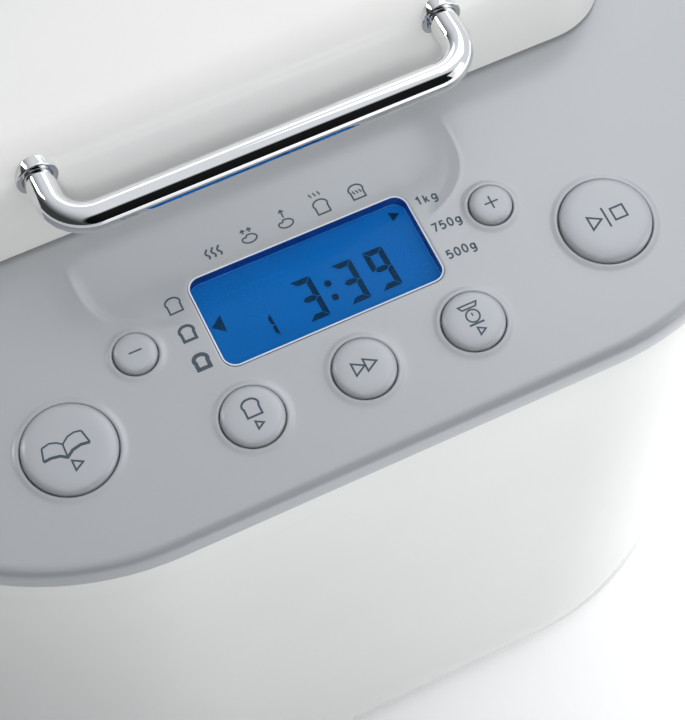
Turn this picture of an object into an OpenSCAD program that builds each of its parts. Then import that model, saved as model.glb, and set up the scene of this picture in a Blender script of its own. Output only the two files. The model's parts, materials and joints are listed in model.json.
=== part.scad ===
// Bread machine: a white tapered casing with a grey control deck, a hinged lid with a window and
// a chrome handle, and inside it the oven chamber, the bread pan with its kneading blade, the belt
// drive and the electronics. Millimetres, +Z up, front towards -Y, origin at the base's centre.

/* [Casing] */
// Width over the control deck
body_w = 345; // [330:1:360]
// Depth, front to back
body_d = 300; // [295:1:320]
// Height of the deck's front edge above the table
front_h = 235; // [232:1:240]
// Overall height with the lid shut
total_h = 300; // [298:1:304]
// Radius of the two front corners in plan
front_r = 100; // [80:1:110]
// Radius of the two rear corners in plan
rear_r = 70; // [50:1:80]
// How far each side steps in between the deck and the base
taper = 10; // [4:1:12]
// Thickness of the moulded walls
wall = 2.5; // [2:0.1:3]
// Height of the deck's skirt, down to the seam
skirt = 7; // [6:0.5:10]

/* [Control panel] */
// Slope of the panel, falling towards the front
slope = 6.5; // [4:0.5:8]
// Width of the display window
display_w = 75; // [70:1:78]
// Height of the display window
display_h = 33; // [30:1:34]
// Radius of the two large keys' holes
key_large = 15; // [13:0.5:16]
// Radius of the three middle keys' holes
key_mid = 10.2; // [9:0.1:11]
// Radius of the two small keys' holes
key_small = 7.1; // [6:0.1:8]
// How far a key travels when it is pressed
key_travel = 0.8; // [0.4:0.1:0.9]

/* [Lid] */
// Width of the lid
lid_w = 270; // [262:1:280]
// Diameter of the handle's bar
handle_d = 9.5; // [8:0.5:10]
// Length and depth of the outer window
window = [150, 84]; // [140:160]

/* [Bread pan] */
// Length and depth of the pan outside
pan = [176, 120]; // [110:180]
// Height of the pan's rim above the table
pan_top = 205; // [195:1:206]
// Radius of the bail's wire
bail_r = 2.5; // [2:0.1:2.6]

/* [Drive] */
// Radius of the large pulley at the belt
pulley_large = 54; // [50:1:56]
// Radius of the motor pulley at the belt
pulley_small = 9; // [8:0.5:10]

/* [Hidden] */
$fn = 64;

tiny = 0.01;       // overlap that keeps two cuts from sharing a face
far = 400;         // larger than the whole machine
foot_h = 5;        // height of the rubber feet below the base
deck_edge = 3;     // rounding of the deck's upper edge
front_y = -body_d / 2;

// The panel's own frame has its origin at the display's centre.
panel_front = 62;  // from the display's centre down the slope to the front edge
panel_back = 38.5; // from the display's centre up the slope to where the deck turns level
panel_y = front_y + panel_front * cos(slope);
panel_z = front_h + panel_front * sin(slope);
level_y = front_y + (panel_front + panel_back) * cos(slope);
deck_z = front_h + (panel_front + panel_back) * sin(slope);

// Lid: each section is [height above its base, step in at the front, at the sides, at the rear]
lid_z = deck_z + 1.2;
lid_h = total_h - lid_z;
lid_y0 = panel_y + 46.5 * cos(slope);
lid_y1 = 141;
lid_sections = [
    [0, 0, 0, 0], [0.08, 0.3, 0.2, 0.2], [0.51, 2, 1, 1], [0.65, 4.5, 2.5, 2.5], [0.75, 9, 5.5, 5],
    [0.83, 17, 10, 9], [0.91, 30, 18, 15], [1, 51, 34, 26]
];
window_y = 57;
hinge_y = 133;
hinge_z = deck_z + 9;
hinge_roll = 8;    // radius of the lid's rear edge about the hinge
hinge_pin_r = 2.5;
running = 0.08;    // radial clearance of a turning pin
ear_x = [70, 82];  // each deck ear, from and to, on either side
handle_x = 67.5;   // where each leg of the handle stands
handle_bend = 12;
handle_up = 32;    // height of the bar above the panel's plane
handle_v = 31.8;   // and its place up the slope
handle_y = panel_y + handle_v * cos(slope) - handle_up * sin(slope);
handle_z = panel_z + handle_v * sin(slope) + handle_up * cos(slope);
handle_in = lid_y0 + 14;

// Oven and pan
oven_y = 54;       // centre of the oven, the pan and the drive
oven = [216, 144]; // inside, left to right and front to back
oven_r = 12;
oven_z = 61;       // underside of the floor
sheet = 1;
pan_wall = 1.5;
pan_z = 86;
pan_r = 22;
rim_out = 3;       // how far the pan's rim turns out
dome = [214, 136]; // hollow in the lid over the pan
dome_top = 278;
bail_z = pan_top + 4;
bail_reach = pan[1] / 2;
bail_x = pan[0] / 2 + 8;
element_z = 96;
element_r = 3.25;
element = [98.5, 66, 22]; // half length, half depth and corner radius of the loop
skirt_r = 46.6;    // ring under the pan
boss_r = 12;
bush_r = 8;
pan_shaft_r = 4;

// Drive
chassis_z = 40;
chassis_t = 2;
belt_z = 22;
belt_w = 12;
belt_t = 2;
belt_gap = 0.3;
output_r = 5;
motor = [-50, -88];
motor_z = 50;
motor_shaft_r = 4;
stator_z = 66;
stator_h = 26;
rotor_r = 23.9;

// Keys: [name, across, up the slope, hole radius]
KEYS = [
    ["menu", -90.5, -20.3, key_large], ["minus", -60.5, 0, key_small],
    ["crust", -37.1, -33.8, key_mid], ["rapid", 0, -33.8, key_mid],
    ["size", 37.1, -33.8, key_mid], ["plus", 60.5, 0, key_small],
    ["start_stop", 90.5, -20.3, key_large]
];
key_gap = 0.35;
key_rim = 0.5;     // height of the raised rim round each key's hole
key_flange = 1.8;
flange_top = -2.9;
flange_t = 1.6;
stem_end = -5.2;
pcb_top = -10.8;
pcb_t = 1.6;
boss_at = [[-78, 12], [78, 12], [-62, -42], [62, -42], [-30, 26], [30, 26]];
lens_r = 4.5;

// Fixings in the base
post_at = [[-95, -95], [95, -95], [-95, 112], [95, 112]];
power_post = [[22, -114], [22, -56], [106, -114], [106, -56]];
board_up = 14;     // height of the power board over the chassis plate
plug_h = 6;
foot_at = [[-112, -88], [112, -88], [-112, 88], [112, 88]];
gland_x = 70;
gland_z = 35;
gland_r = 6;
gland_bore = 3.6;

// ---------- outlines ----------
function arc_points(cx, cy, r, from, to, n) =
    [for (i = [0:n]) let (a = from + (to - from) * i / n) [cx + r * cos(a), cy + r * sin(a)]];

// A rectangle from y0 to y1 with rounded corners, rf at the front and rr at the rear
function rounded(w, y0, y1, rf, rr, n = 12) = concat(
    arc_points(w / 2 - rf, y0 + rf, rf, 270, 360, n),
    arc_points(w / 2 - rr, y1 - rr, rr, 0, 90, n),
    arc_points(-w / 2 + rr, y1 - rr, rr, 90, 180, n),
    arc_points(-w / 2 + rf, y0 + rf, rf, 180, 270, n)
);

// The casing's outline: inset is a wall's thickness, step is how far the taper has come in
function casing(inset, step = 0, n = 16) = rounded(
    body_w - 2 * (inset + step), front_y + inset + step, body_d / 2 - inset - step,
    front_r - inset, rear_r - inset, n
);

// The stretched loop round two circles, as a belt runs
function belt_points(c1, r1, c2, r2, n) =
    let (
        d = norm(c2 - c1),
        along = atan2(c2[1] - c1[1], c2[0] - c1[0]),
        lean = acos((r1 - r2) / d)
    )
    concat(
        arc_points(c1[0], c1[1], r1, along + lean, along + 360 - lean, n),
        arc_points(c2[0], c2[1], r2, along - lean, along + lean, n)
    );

module box(w, y0, y1, z0, z1, r, n = 8) {
    translate([0, 0, z0]) linear_extrude(z1 - z0) polygon(rounded(w, y0, y1, r, r, n));
}

module centred_box(size, y, z0, z1, r) {
    box(size[0], y - size[1] / 2, y + size[1] / 2, z0, z1, r);
}

module tube(r, inner, z0, z1) {
    translate([0, 0, z0]) difference() {
        cylinder(h = z1 - z0, r = r);
        translate([0, 0, -1]) cylinder(h = z1 - z0 + 2, r = inner);
    }
}

module rod_x(r, x0, x1) {
    translate([x0, 0, 0]) rotate([0, 90, 0]) cylinder(h = x1 - x0, r = r);
}

module rod_y(r, y0, y1) {
    translate([0, y0, 0]) rotate([-90, 0, 0]) cylinder(h = y1 - y0, r = r);
}

module on_panel() {
    translate([0, panel_y, panel_z]) rotate([slope, 0, 0]) children();
}

// Everything below the deck's top surface lowered by drop
module under_deck(drop) {
    rotate([90, 0, 90]) linear_extrude(far, center = true) polygon([
        [-far, front_h - drop - (far + front_y) * tan(slope)],
        [level_y, deck_z - drop], [far, deck_z - drop], [far, -far], [-far, -far]
    ]);
}

module mirror_x() {
    children();
    mirror([1, 0, 0]) children();
}

// ---------- casing ----------
module casing_form(inset) {
    base = foot_h;
    shoulder = base + 9;
    top = deck_z;
    hull() {
        translate([0, 0, base]) linear_extrude(tiny) polygon(casing(inset, taper + 3));
        translate([0, 0, base + 3]) linear_extrude(tiny) polygon(casing(inset, taper + 0.8));
        translate([0, 0, shoulder]) linear_extrude(tiny) polygon(casing(inset, taper));
        translate([0, 0, top]) linear_extrude(tiny) polygon(casing(inset));
    }
}

module body_shell() {
    color("white") difference() {
        intersection() {
            casing_form(0);
            under_deck(skirt);
        }
        translate([0, 0, -tiny]) casing_form(wall);
        translate([0, 0, foot_h - 1]) linear_extrude(wall) polygon(casing(wall, taper + 3));
        rear_vents();
        translate([gland_x, 0, gland_z]) rod_y(gland_r + 0.2, 100, body_d / 2);
    }
}

module rear_vents() {
    for (row = [0:4], side = [-1, 1])
        translate([side * 35 - 25, body_d / 2 - 20, 80 + 9 * row]) cube([50, 30, 3.5]);
}

// The deck's block, its upper edge rounded over
module deck_form() {
    hull() for (a = [0:18:90]) intersection() {
        translate([0, 0, front_h - 30]) linear_extrude(60)
            polygon(casing(deck_edge * (1 - sin(a))));
        under_deck(deck_edge * (1 - cos(a)));
    }
}

module top_deck() {
    color("lightsteelblue") difference() {
        union() {
            difference() {
                deck_form();
                under_deck(skirt);
                intersection() {
                    translate([0, 0, front_h - 40]) linear_extrude(60) polygon(casing(wall + 0.6));
                    under_deck(wall);
                }
            }
            on_panel() for (k = KEYS)
                translate([k[1], k[2], -wall / 2]) cylinder(h = wall / 2 + key_rim, r = k[3] + 2);
            on_panel() for (p = boss_at)
                translate([p[0], p[1], pcb_top]) cylinder(h = -pcb_top - wall / 2, r = 3.5);
            mirror_x() hinge_ear();
        }
        centred_box(oven, oven_y, deck_z - 20, deck_z + 1, oven_r);
        on_panel() {
            for (k = KEYS) translate([k[1], k[2], -6]) cylinder(h = 12, r = k[3]);
            box(display_w, -display_h / 2, display_h / 2, -8, 4, lens_r);
            for (p = boss_at) translate([p[0], p[1], pcb_top - 1]) cylinder(h = 7, r = 1.3);
        }
        translate([0, hinge_y, hinge_z]) rod_x(hinge_pin_r + running, -100, 100);
    }
}

module hinge_ear() {
    width = ear_x[1] - ear_x[0];
    translate([ear_x[0], hinge_y, hinge_z]) rod_x(6.5, 0, width);
    translate([ear_x[0], hinge_y - 6.5, deck_z - wall / 2])
        cube([width, 13, hinge_z - deck_z + wall / 2]);
}

module base_plate() {
    color("dimgray") difference() {
        union() {
            translate([0, 0, foot_h]) linear_extrude(3) polygon(casing(wall + 0.3, taper + 3));
            for (p = post_at) translate([p[0], p[1], foot_h]) cylinder(h = chassis_z - foot_h, r = 6);
        }
        for (p = post_at) translate([p[0], p[1], 0]) cylinder(h = 22, r = 2);
        for (p = foot_at) translate([p[0], p[1], 0]) cylinder(h = 20, r = 3);
        for (row = [0:5]) translate([-85, -112 + 9 * row, 0]) cube([60, 4, 20]);
    }
}

module rubber_feet() {
    color("black") for (p = foot_at) translate([p[0], p[1], 0]) {
        cylinder(h = foot_h, r = 9);
        cylinder(h = foot_h + 3, r = 3);
    }
}

module base_screws() {
    color("silver") for (p = post_at) translate([p[0], p[1], foot_h - 1.5]) {
        cylinder(h = 1.5, r = 4);
        cylinder(h = 16, r = 2);
    }
}

module cord_gland() {
    color("black") translate([gland_x, 0, gland_z]) difference() {
        union() {
            rod_y(gland_r, 126, 146);
            rod_y(9, 142.6, 146);
        }
        rod_y(gland_bore, 100, 160);
    }
}

// ---------- lid ----------
function lid_outline(s, inset) = rounded(
    lid_w - 2 * (s[2] + inset), lid_y0 + s[1] + inset, lid_y1 - s[3] - inset,
    26, max(20, 44 - s[3] - inset), 8
);

module lid_form(inset, drop) {
    hull() for (s = lid_sections)
        translate([0, 0, lid_z - drop + s[0] * lid_h - (s[0] == 1 ? tiny : 0)])
            linear_extrude(tiny) polygon(lid_outline(s, inset));
}

// What the hinge's roll leaves of the lid behind the hinge
module hinge_clearance() {
    difference() {
        translate([-far / 2, hinge_y, hinge_z - 20]) cube([far, 40, 20]);
        translate([0, hinge_y, hinge_z]) rod_x(hinge_roll, -far, far);
    }
    for (side = [-1, 1])
        translate([side * (ear_x[0] + ear_x[1]) / 2 - 6.75, hinge_y - 9, hinge_z - 20])
            cube([13.5, 40, 36]);
}

module hinge_boss(x0, x1) {
    translate([x0, hinge_y, hinge_z]) rod_x(6, 0, x1 - x0);
    translate([x0, hinge_y, hinge_z - 4]) cube([x1 - x0, 6.5, 10]);
}

liner_screw_at = [[-120, -18], [120, -18], [-120, 100], [120, 100]];

module lid_cover() {
    pocket = [window[0] + 0.4, window[1] + 0.4];
    color("white") difference() {
        union() {
            difference() {
                lid_form(0, 0);
                lid_form(wall, wall);
                translate([0, 0, lid_z - 4]) linear_extrude(4 + wall)
                    polygon(lid_outline(lid_sections[1], wall));
            }
            intersection() {
                lid_form(0, 0);
                union() {
                    for (p = liner_screw_at) translate([p[0], p[1], lid_z + 1]) cylinder(h = 60, r = 4);
                    centred_box([window[0] + 6, window[1] + 6], window_y, total_h - 5.4, total_h, 8);
                    mirror_x() {
                        hinge_boss(ear_x[0] - 12, ear_x[0] - 0.5);
                        hinge_boss(ear_x[1] + 0.5, ear_x[1] + 12);
                        translate([handle_x, 0, handle_z]) rod_y(8, lid_y0, handle_in);
                    }
                }
            }
        }
        hinge_clearance();
        centred_box(pocket, window_y, total_h - 3.2, total_h + 5, 6);
        centred_box([window[0] - 8, window[1] - 8], window_y, total_h - 20, total_h + 5, 4);
        for (p = liner_screw_at) translate([p[0], p[1], lid_z]) cylinder(h = 12, r = 1.6);
        translate([0, hinge_y, hinge_z])
            rod_x(hinge_pin_r, -ear_x[1] - 11, ear_x[1] + 11);
        mirror_x() translate([handle_x, 0, handle_z]) {
            rod_y(handle_d / 2 + 0.1, lid_y0 - 20, handle_in - 4);
            rod_y(2, lid_y0 - 20, handle_in + 4);
        }
    }
}

module lid_liner() {
    y0 = lid_y0 + 4;
    y1 = hinge_y - 9;
    color("silver") difference() {
        union() {
            box(lid_w - 8, y0, y1, lid_z, lid_z + sheet, 28);
            centred_box([dome[0] + 2 * sheet, dome[1] + 2 * sheet], oven_y, lid_z, dome_top + sheet, 20);
        }
        centred_box(dome, oven_y, lid_z - 1, dome_top, 19);
        centred_box([window[0] - 22, window[1] - 22], window_y, dome_top - 1, dome_top + 4, 6);
        for (p = liner_screw_at) translate([p[0], p[1], lid_z - 1]) cylinder(h = 4, r = 1.7);
    }
}

module lid_screws() {
    color("silver") {
        for (p = liner_screw_at) translate([p[0], p[1], lid_z]) {
            translate([0, 0, -0.6]) cylinder(h = 0.6, r = 3.2);
            cylinder(h = 11, r = 1.6);
        }
        mirror_x() translate([handle_x, 0, handle_z]) {
            rod_y(2, handle_in - 11, handle_in + 2);
            rod_y(3.8, handle_in, handle_in + 2.5);
        }
    }
}

module lid_window() {
    color("lightblue") centred_box(window, window_y, total_h - 2.4, total_h, 6);
}

module window_gaskets() {
    color("black") {
        difference() {
            centred_box(window, window_y, total_h - 3.2, total_h - 2.4, 6);
            centred_box([window[0] - 8, window[1] - 8], window_y, total_h - 5, total_h, 4);
        }
        difference() {
            centred_box([window[0] - 14, window[1] - 14], window_y, dome_top + sheet + tiny,
                dome_top + 2, 8);
            centred_box([window[0] - 22, window[1] - 22], window_y, dome_top, dome_top + 3, 6);
        }
    }
}

module inner_window() {
    color("lightblue")
        centred_box([window[0] - 14, window[1] - 14], window_y, dome_top + 2, dome_top + 5, 8);
}

module lid_handle() {
    bar = handle_x - handle_bend;
    r = handle_d / 2;
    color("gainsboro") translate([0, handle_y, handle_z]) {
        rod_x(r, -bar, bar);
        mirror_x() {
            translate([bar, handle_bend, 0]) rotate([0, 0, -90])
                rotate_extrude(angle = 90) translate([handle_bend, 0]) circle(r);
            difference() {
                translate([handle_x, 0, 0]) rod_y(r, handle_bend, handle_in - 4 - handle_y);
                translate([handle_x, 0, 0]) rod_y(2, handle_in - 12 - handle_y, handle_in - handle_y);
            }
        }
    }
}

module hinge_pins() {
    color("silver") mirror_x() translate([0, hinge_y, hinge_z])
        rod_x(hinge_pin_r, ear_x[0] - 11, ear_x[1] + 11);
}

// ---------- oven ----------
module oven_chamber() {
    flange = [oven[0] + 18, oven[1] + 18];
    top = deck_z - wall;
    color("silver") difference() {
        union() {
            centred_box([oven[0] + 2 * sheet, oven[1] + 2 * sheet], oven_y, oven_z, top, oven_r + sheet);
            centred_box(flange, oven_y, top - sheet, top, oven_r + 9);
        }
        centred_box(oven, oven_y, oven_z + sheet, top + 1, oven_r);
        translate([0, oven_y, oven_z - 1]) cylinder(h = 4, r = 7);
        for (x = [-20, 20]) translate([x, 0, element_z])
            rod_y(3.9, oven_y - oven[1] / 2 - 5, oven_y - oven[1] / 2 + 2);
        translate([0, 20, 140]) rod_x(2.6, -oven[0] / 2 - 5, -oven[0] / 2 + 5);
    }
}

module chamber_standoffs() {
    color("silver") for (x = [-85, 85], y = [-5, 113])
        translate([x, y, 0]) tube(5, 2, chassis_z + chassis_t, oven_z);
}

module element_side() {
    a = element[0];
    b = element[1];
    c = element[2];
    gap = 28;
    bend = 8;
    lead = 12;
    translate([a, 0, 0]) rod_y(element_r, c - b, b - c);
    translate([a - c, b - c, 0]) rotate_extrude(angle = 90) translate([c, 0]) circle(element_r);
    translate([a - c, c - b, 0]) rotate([0, 0, -90])
        rotate_extrude(angle = 90) translate([c, 0]) circle(element_r);
    translate([0, b, 0]) rod_x(element_r, 0, a - c);
    translate([0, -b, 0]) rod_x(element_r, gap, a - c);
    translate([gap, -b - bend, 0]) rotate([0, 0, 90])
        rotate_extrude(angle = 90) translate([bend, 0]) circle(element_r);
    translate([gap - bend, -b - bend - lead, 0]) rod_y(element_r, 0, lead);
}

module heating_element() {
    color("dimgray") translate([0, oven_y, element_z]) mirror_x() element_side();
}

module element_clips() {
    color("silver") translate([0, oven_y, element_z]) {
        mirror_x() difference() {
            translate([93, -6, -5]) cube([oven[0] / 2 - 93, 12, 10]);
            translate([element[0], 0, 0]) rod_y(element_r + 0.05, -10, 10);
        }
        difference() {
            translate([-6, 61.5, -5]) cube([12, oven[1] / 2 - 61.5, 10]);
            translate([0, element[1], 0]) rod_x(element_r + 0.05, -10, 10);
        }
    }
}

module temperature_sensor() {
    color("silver") translate([0, 20, 140]) {
        rod_x(2.5, -oven[0] / 2 - 8, -oven[0] / 2 + 7);
        rod_x(5, -oven[0] / 2 - 3, -oven[0] / 2 - sheet);
    }
}

module pan_seat() {
    color("silver") translate([0, oven_y, 0]) difference() {
        union() {
            tube(52, skirt_r + 0.4, oven_z + sheet, oven_z + 11);
            tube(58, skirt_r - 4, oven_z + sheet, oven_z + 3.2);
        }
        for (a = [30, 150, 270]) rotate([0, 0, a])
            translate([55, 0, oven_z]) cylinder(h = 10, r = 1.6);
    }
}

module heat_shield() {
    y = oven_y - oven[1] / 2 - 12;
    color("silver") difference() {
        translate([-112, y, 48]) cube([224, sheet, 180]);
        for (x = [-20, 20]) translate([x, 0, element_z]) rod_y(7, y - 5, y + 5);
    }
}

// ---------- drive ----------
module drive_chassis() {
    color("silver") difference() {
        union() {
            box(222, -118, 124, chassis_z, chassis_z + chassis_t, 20);
            for (p = power_post) translate([p[0], p[1], chassis_z]) cylinder(h = board_up, r = 3.5);
        }
        translate([0, oven_y, 0]) cylinder(h = 60, r = 13.2);
        translate([motor[0], motor[1], 0]) cylinder(h = 60, r = 16);
        for (p = post_at) translate([p[0], p[1], 0]) cylinder(h = 60, r = 2);
    }
}

module bearing_housing() {
    top = chassis_z + chassis_t;
    color("gainsboro") translate([0, oven_y, 0]) difference() {
        union() {
            translate([0, 0, top - 6]) cylinder(h = oven_z - 1 - top + 6, r = 13);
            translate([0, 0, top]) cylinder(h = 3, r = 26);
        }
        translate([0, 0, top - 10]) cylinder(h = 40, r = 9);
        for (a = [0, 120, 240]) rotate([0, 0, a])
            translate([20, 0, top - 1]) cylinder(h = 6, r = 2);
    }
}

module output_bush() {
    color("goldenrod") translate([0, oven_y, 0])
        tube(9, output_r + running, chassis_z - 3, oven_z - 2);
}

module output_shaft() {
    color("silver") translate([0, oven_y, belt_z - 2]) cylinder(h = oven_z + 5 - belt_z + 2, r = output_r);
}

module large_pulley() {
    color("dimgray") translate([0, oven_y, belt_z]) difference() {
        rotate_extrude() polygon([
            [output_r, 0], [pulley_large + 2, 0], [pulley_large + 2, 1.2], [pulley_large, 1.6],
            [pulley_large, belt_w - 1.6], [pulley_large + 2, belt_w - 1.2],
            [pulley_large + 2, belt_w], [pulley_large - 5, belt_w], [pulley_large - 5, 4],
            [13, 4], [13, belt_w], [output_r, belt_w]
        ]);
        for (a = [0:60:300]) rotate([0, 0, a]) translate([31, 0, -1]) cylinder(h = 6, r = 11);
    }
}

module drive_dog() {
    floor_top = oven_z + sheet;
    color("gainsboro") translate([0, oven_y, floor_top + 0.8]) {
        tube(9, output_r, 0, 3);
        for (a = [45, 225]) rotate([0, 0, a]) difference() {
            translate([8, -2.5, 0]) cube([8, 5, 8.4]);
            translate([0, 0, -1]) cylinder(h = 12, r = 8.9);
        }
    }
}

module drive_belt() {
    c1 = [0, oven_y];
    inner = [pulley_large + belt_gap, pulley_small + belt_gap];
    color("black") translate([0, 0, belt_z + 2]) linear_extrude(belt_w - 4) difference() {
        polygon(belt_points(c1, inner[0] + belt_t, motor, inner[1] + belt_t, 48));
        polygon(belt_points(c1, inner[0], motor, inner[1], 48));
    }
}

module motor_pulley() {
    color("dimgray") translate([motor[0], motor[1], belt_z]) rotate_extrude() polygon([
        [motor_shaft_r, 0], [pulley_small + 2, 0], [pulley_small + 2, 1.2], [pulley_small, 1.6],
        [pulley_small, belt_w - 1.6], [pulley_small + 2, belt_w - 1.2],
        [pulley_small + 2, belt_w], [motor_shaft_r, belt_w]
    ]);
}

module motor_shaft() {
    color("silver") translate([motor[0], motor[1], belt_z - 2]) cylinder(h = 92, r = motor_shaft_r);
}

module motor_rotor() {
    color("silver") translate([motor[0], motor[1], 0])
        tube(rotor_r, motor_shaft_r, stator_z - 2, stator_z + stator_h + 2);
}

module motor_stator() {
    color("dimgray") translate([motor[0], motor[1], 0]) difference() {
        box(78, -39, 39, stator_z, stator_z + stator_h, 8);
        translate([0, 0, stator_z - 1]) cylinder(h = stator_h + 2, r = rotor_r + 0.4);
        for (x = [-33, 33], y = [-33, 33]) translate([x, y, stator_z - 1]) cylinder(h = stator_h + 2, r = 2);
    }
}

module motor_windings() {
    color("peru") translate([motor[0], motor[1], 0]) {
        tube(32, 25, stator_z - 9, stator_z);
        tube(32, 25, stator_z + stator_h, stator_z + stator_h + 9);
    }
}

module end_bell() {
    difference() {
        union() {
            cylinder(h = 16, r = 36);
            box(76, -38, 38, 0, 3, 8);
        }
        translate([0, 0, 3]) cylinder(h = 14, r = 33);
        translate([0, 0, -1]) cylinder(h = 6, r = motor_shaft_r + running);
        for (a = [45:90:315]) rotate([0, 0, a]) translate([18, 0, -1]) cylinder(h = 6, r = 5);
    }
}

module motor_end_bells() {
    color("lightgray") translate([motor[0], motor[1], 0]) {
        translate([0, 0, stator_z - 16]) end_bell();
        translate([0, 0, stator_z + stator_h + 16]) mirror([0, 0, 1]) end_bell();
    }
}

module motor_mounts() {
    color("black") translate([motor[0], motor[1], 0]) for (x = [-29, 29], y = [-29, 29])
        translate([x, y, 0]) tube(6, 2, chassis_z + chassis_t, stator_z - 16);
}

module motor_capacitor() {
    color("black") translate([30, -52, chassis_z + chassis_t]) {
        cube([36, 16, 26]);
        for (x = [10, 24]) translate([x, 7, 26]) cube([4, 1, 6]);
    }
}

// ---------- electronics ----------
module power_pcb() {
    color("darkgreen") difference() {
        translate([15, -124, chassis_z + board_up]) cube([98, 70, pcb_t]);
        for (p = power_post) translate([p[0], p[1], chassis_z]) cylinder(h = 30, r = 1.5);
    }
}

module power_parts() {
    z = chassis_z + board_up + pcb_t;
    color("black") translate([0, 0, z]) {
        translate([20, -104, 0]) cube([36, 34, 8]);
        translate([24, -104, 8]) cube([28, 34, 22]);
        translate([84, -118, 0]) cube([20, 15, 16]);
        for (x = [76, 94]) translate([x, -76, 0]) cylinder(h = 22, r = 6.5);
        translate([60, -118, 0]) cube([22, 7, plug_h]);
    }
}

module control_pcb() {
    color("darkgreen") on_panel() difference() {
        union() {
            translate([-106, -49, pcb_top - pcb_t]) cube([212, 80, pcb_t]);
            translate([60, -33, pcb_top - pcb_t - plug_h]) cube([22, 8, plug_h + tiny]);
        }
        for (p = boss_at) translate([p[0], p[1], pcb_top - 3]) cylinder(h = 6, r = 1.5);
    }
}

// Flat cable that hangs in a shallow bow between the two boards
ribbon_low = chassis_z + board_up + pcb_t + plug_h;
ribbon_high = panel_z - 22;
function ribbon_y(t) = -114.5 + 5 * sin(360 * t);
function ribbon_side(off, n) = [for (i = [0:n])
    [ribbon_y(i / n) + off, ribbon_low + (ribbon_high - ribbon_low) * i / n]];

module control_ribbon() {
    n = 24;
    back = ribbon_side(1, n);
    color("gray") translate([71, 0, 0]) rotate([90, 0, 90]) linear_extrude(20, center = true)
        polygon(concat(ribbon_side(0, n), [for (i = [n:-1:0]) back[i]]));
}

module tact_switches() {
    color("black") on_panel() for (k = KEYS) translate([k[1], k[2], pcb_top]) {
        translate([-3, -3, 0]) cube([6, 6, 3.4]);
        cylinder(h = 4.4, r = 1.7);
    }
}

module lcd_backlight() {
    color("white") on_panel() translate([-40, -19, pcb_top]) cube([80, 38, 3.8]);
}

module lcd_panel() {
    color("blue") on_panel() translate([-40, -19, pcb_top + 3.8]) cube([80, 38, 2]);
}

module lcd_frame() {
    color("navy") on_panel() difference() {
        translate([-41, -20, pcb_top + 5.8]) cube([82, 40, -wall - pcb_top - 5.8]);
        box(display_w, -display_h / 2, display_h / 2, -8, 4, lens_r);
    }
}

module display_lens() {
    color("royalblue") on_panel()
        box(display_w - 0.2, -display_h / 2 + 0.1, display_h / 2 - 0.1, -wall + 0.1, 0, lens_r);
}

module pcb_screws() {
    color("silver") on_panel() for (p = boss_at) translate([p[0], p[1], 0]) {
        translate([0, 0, pcb_top - pcb_t - 1.5]) cylinder(h = 1.5, r = 2.6);
        translate([0, 0, pcb_top - pcb_t]) cylinder(h = pcb_t + 5.5, r = 1.3);
    }
}

// A key: a domed cap on a flange that stays under the deck, and a stem over its switch
module key(k) {
    r = k[3] - key_gap;
    rise = 1.6 + 0.07 * k[3];
    edge = 2.2;
    color("gainsboro") on_panel() translate([k[1], k[2], 0]) rotate_extrude() polygon(concat(
        [[0, stem_end], [2, stem_end], [2, flange_top - flange_t],
         [k[3] + key_flange, flange_top - flange_t], [k[3] + key_flange, flange_top],
         [r, flange_top]],
        [for (a = [0:15:75]) [r - edge + edge * cos(a), rise - edge + edge * sin(a)]],
        [[0.55 * r, rise + 0.35], [0, rise + 0.5]]
    ));
}

// ---------- bread pan ----------
module bread_pan() {
    inner = [pan[0] - 2 * pan_wall, pan[1] - 2 * pan_wall];
    color("dimgray") difference() {
        union() {
            centred_box(pan, oven_y, pan_z, pan_top, pan_r);
            centred_box([pan[0] + 2 * rim_out, pan[1] + 2 * rim_out], oven_y, pan_top - pan_wall,
                pan_top, pan_r + rim_out);
            mirror_x() translate([pan[0] / 2 + 1, oven_y, 0]) {
                translate([0, -9, pan_top - 8]) cube([2, 18, 12]);
                translate([0, 0, bail_z]) rod_x(7, 0, 2);
            }
        }
        centred_box(inner, oven_y, pan_z + pan_wall, pan_top + 20, pan_r - pan_wall);
        translate([0, oven_y, pan_z - 1]) cylinder(h = 6, r = boss_r);
        translate([0, oven_y, bail_z]) rod_x(bail_r + running, -bail_x - 10, bail_x + 10);
    }
}

module pan_base() {
    color("gainsboro") translate([0, oven_y, 0]) difference() {
        union() {
            translate([0, 0, pan_z - 6]) cylinder(h = 6, r = skirt_r);
            tube(skirt_r, skirt_r - 2.6, oven_z + 3.5, pan_z - 3);
            translate([0, 0, pan_z - 14]) cylinder(h = 18, r = boss_r);
        }
        translate([0, 0, pan_z - 20]) cylinder(h = 30, r = bush_r);
    }
}

module pan_bush() {
    color("goldenrod") translate([0, oven_y, 0])
        tube(bush_r, pan_shaft_r + running, pan_z - 14, pan_z + 4);
}

module bail_side() {
    bend = 4.5;
    translate([bail_x, 0, 0]) rod_y(bail_r, bend - bail_reach, -bend);
    rod_x(bail_r, pan[0] / 2 - 1.5, bail_x - bend);
    translate([bail_x - bend, -bend, 0])
        rotate_extrude(angle = 90) translate([bend, 0]) circle(bail_r);
    translate([bail_x - bend, bend - bail_reach, 0]) rotate([0, 0, -90])
        rotate_extrude(angle = 90) translate([bend, 0]) circle(bail_r);
    translate([0, -bail_reach, 0]) rod_x(bail_r, 0, bail_x - bend);
}

module pan_handle() {
    color("silver") translate([0, oven_y, bail_z]) mirror_x() bail_side();
}

// D-shaped section that carries the blade
module keyed(r, z0, z1) {
    translate([0, 0, z0]) intersection() {
        cylinder(h = z1 - z0, r = r);
        translate([-r * 2, -r * 2, 0]) cube([r * 4, r * 2 + r * 0.65, z1 - z0]);
    }
}

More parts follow.
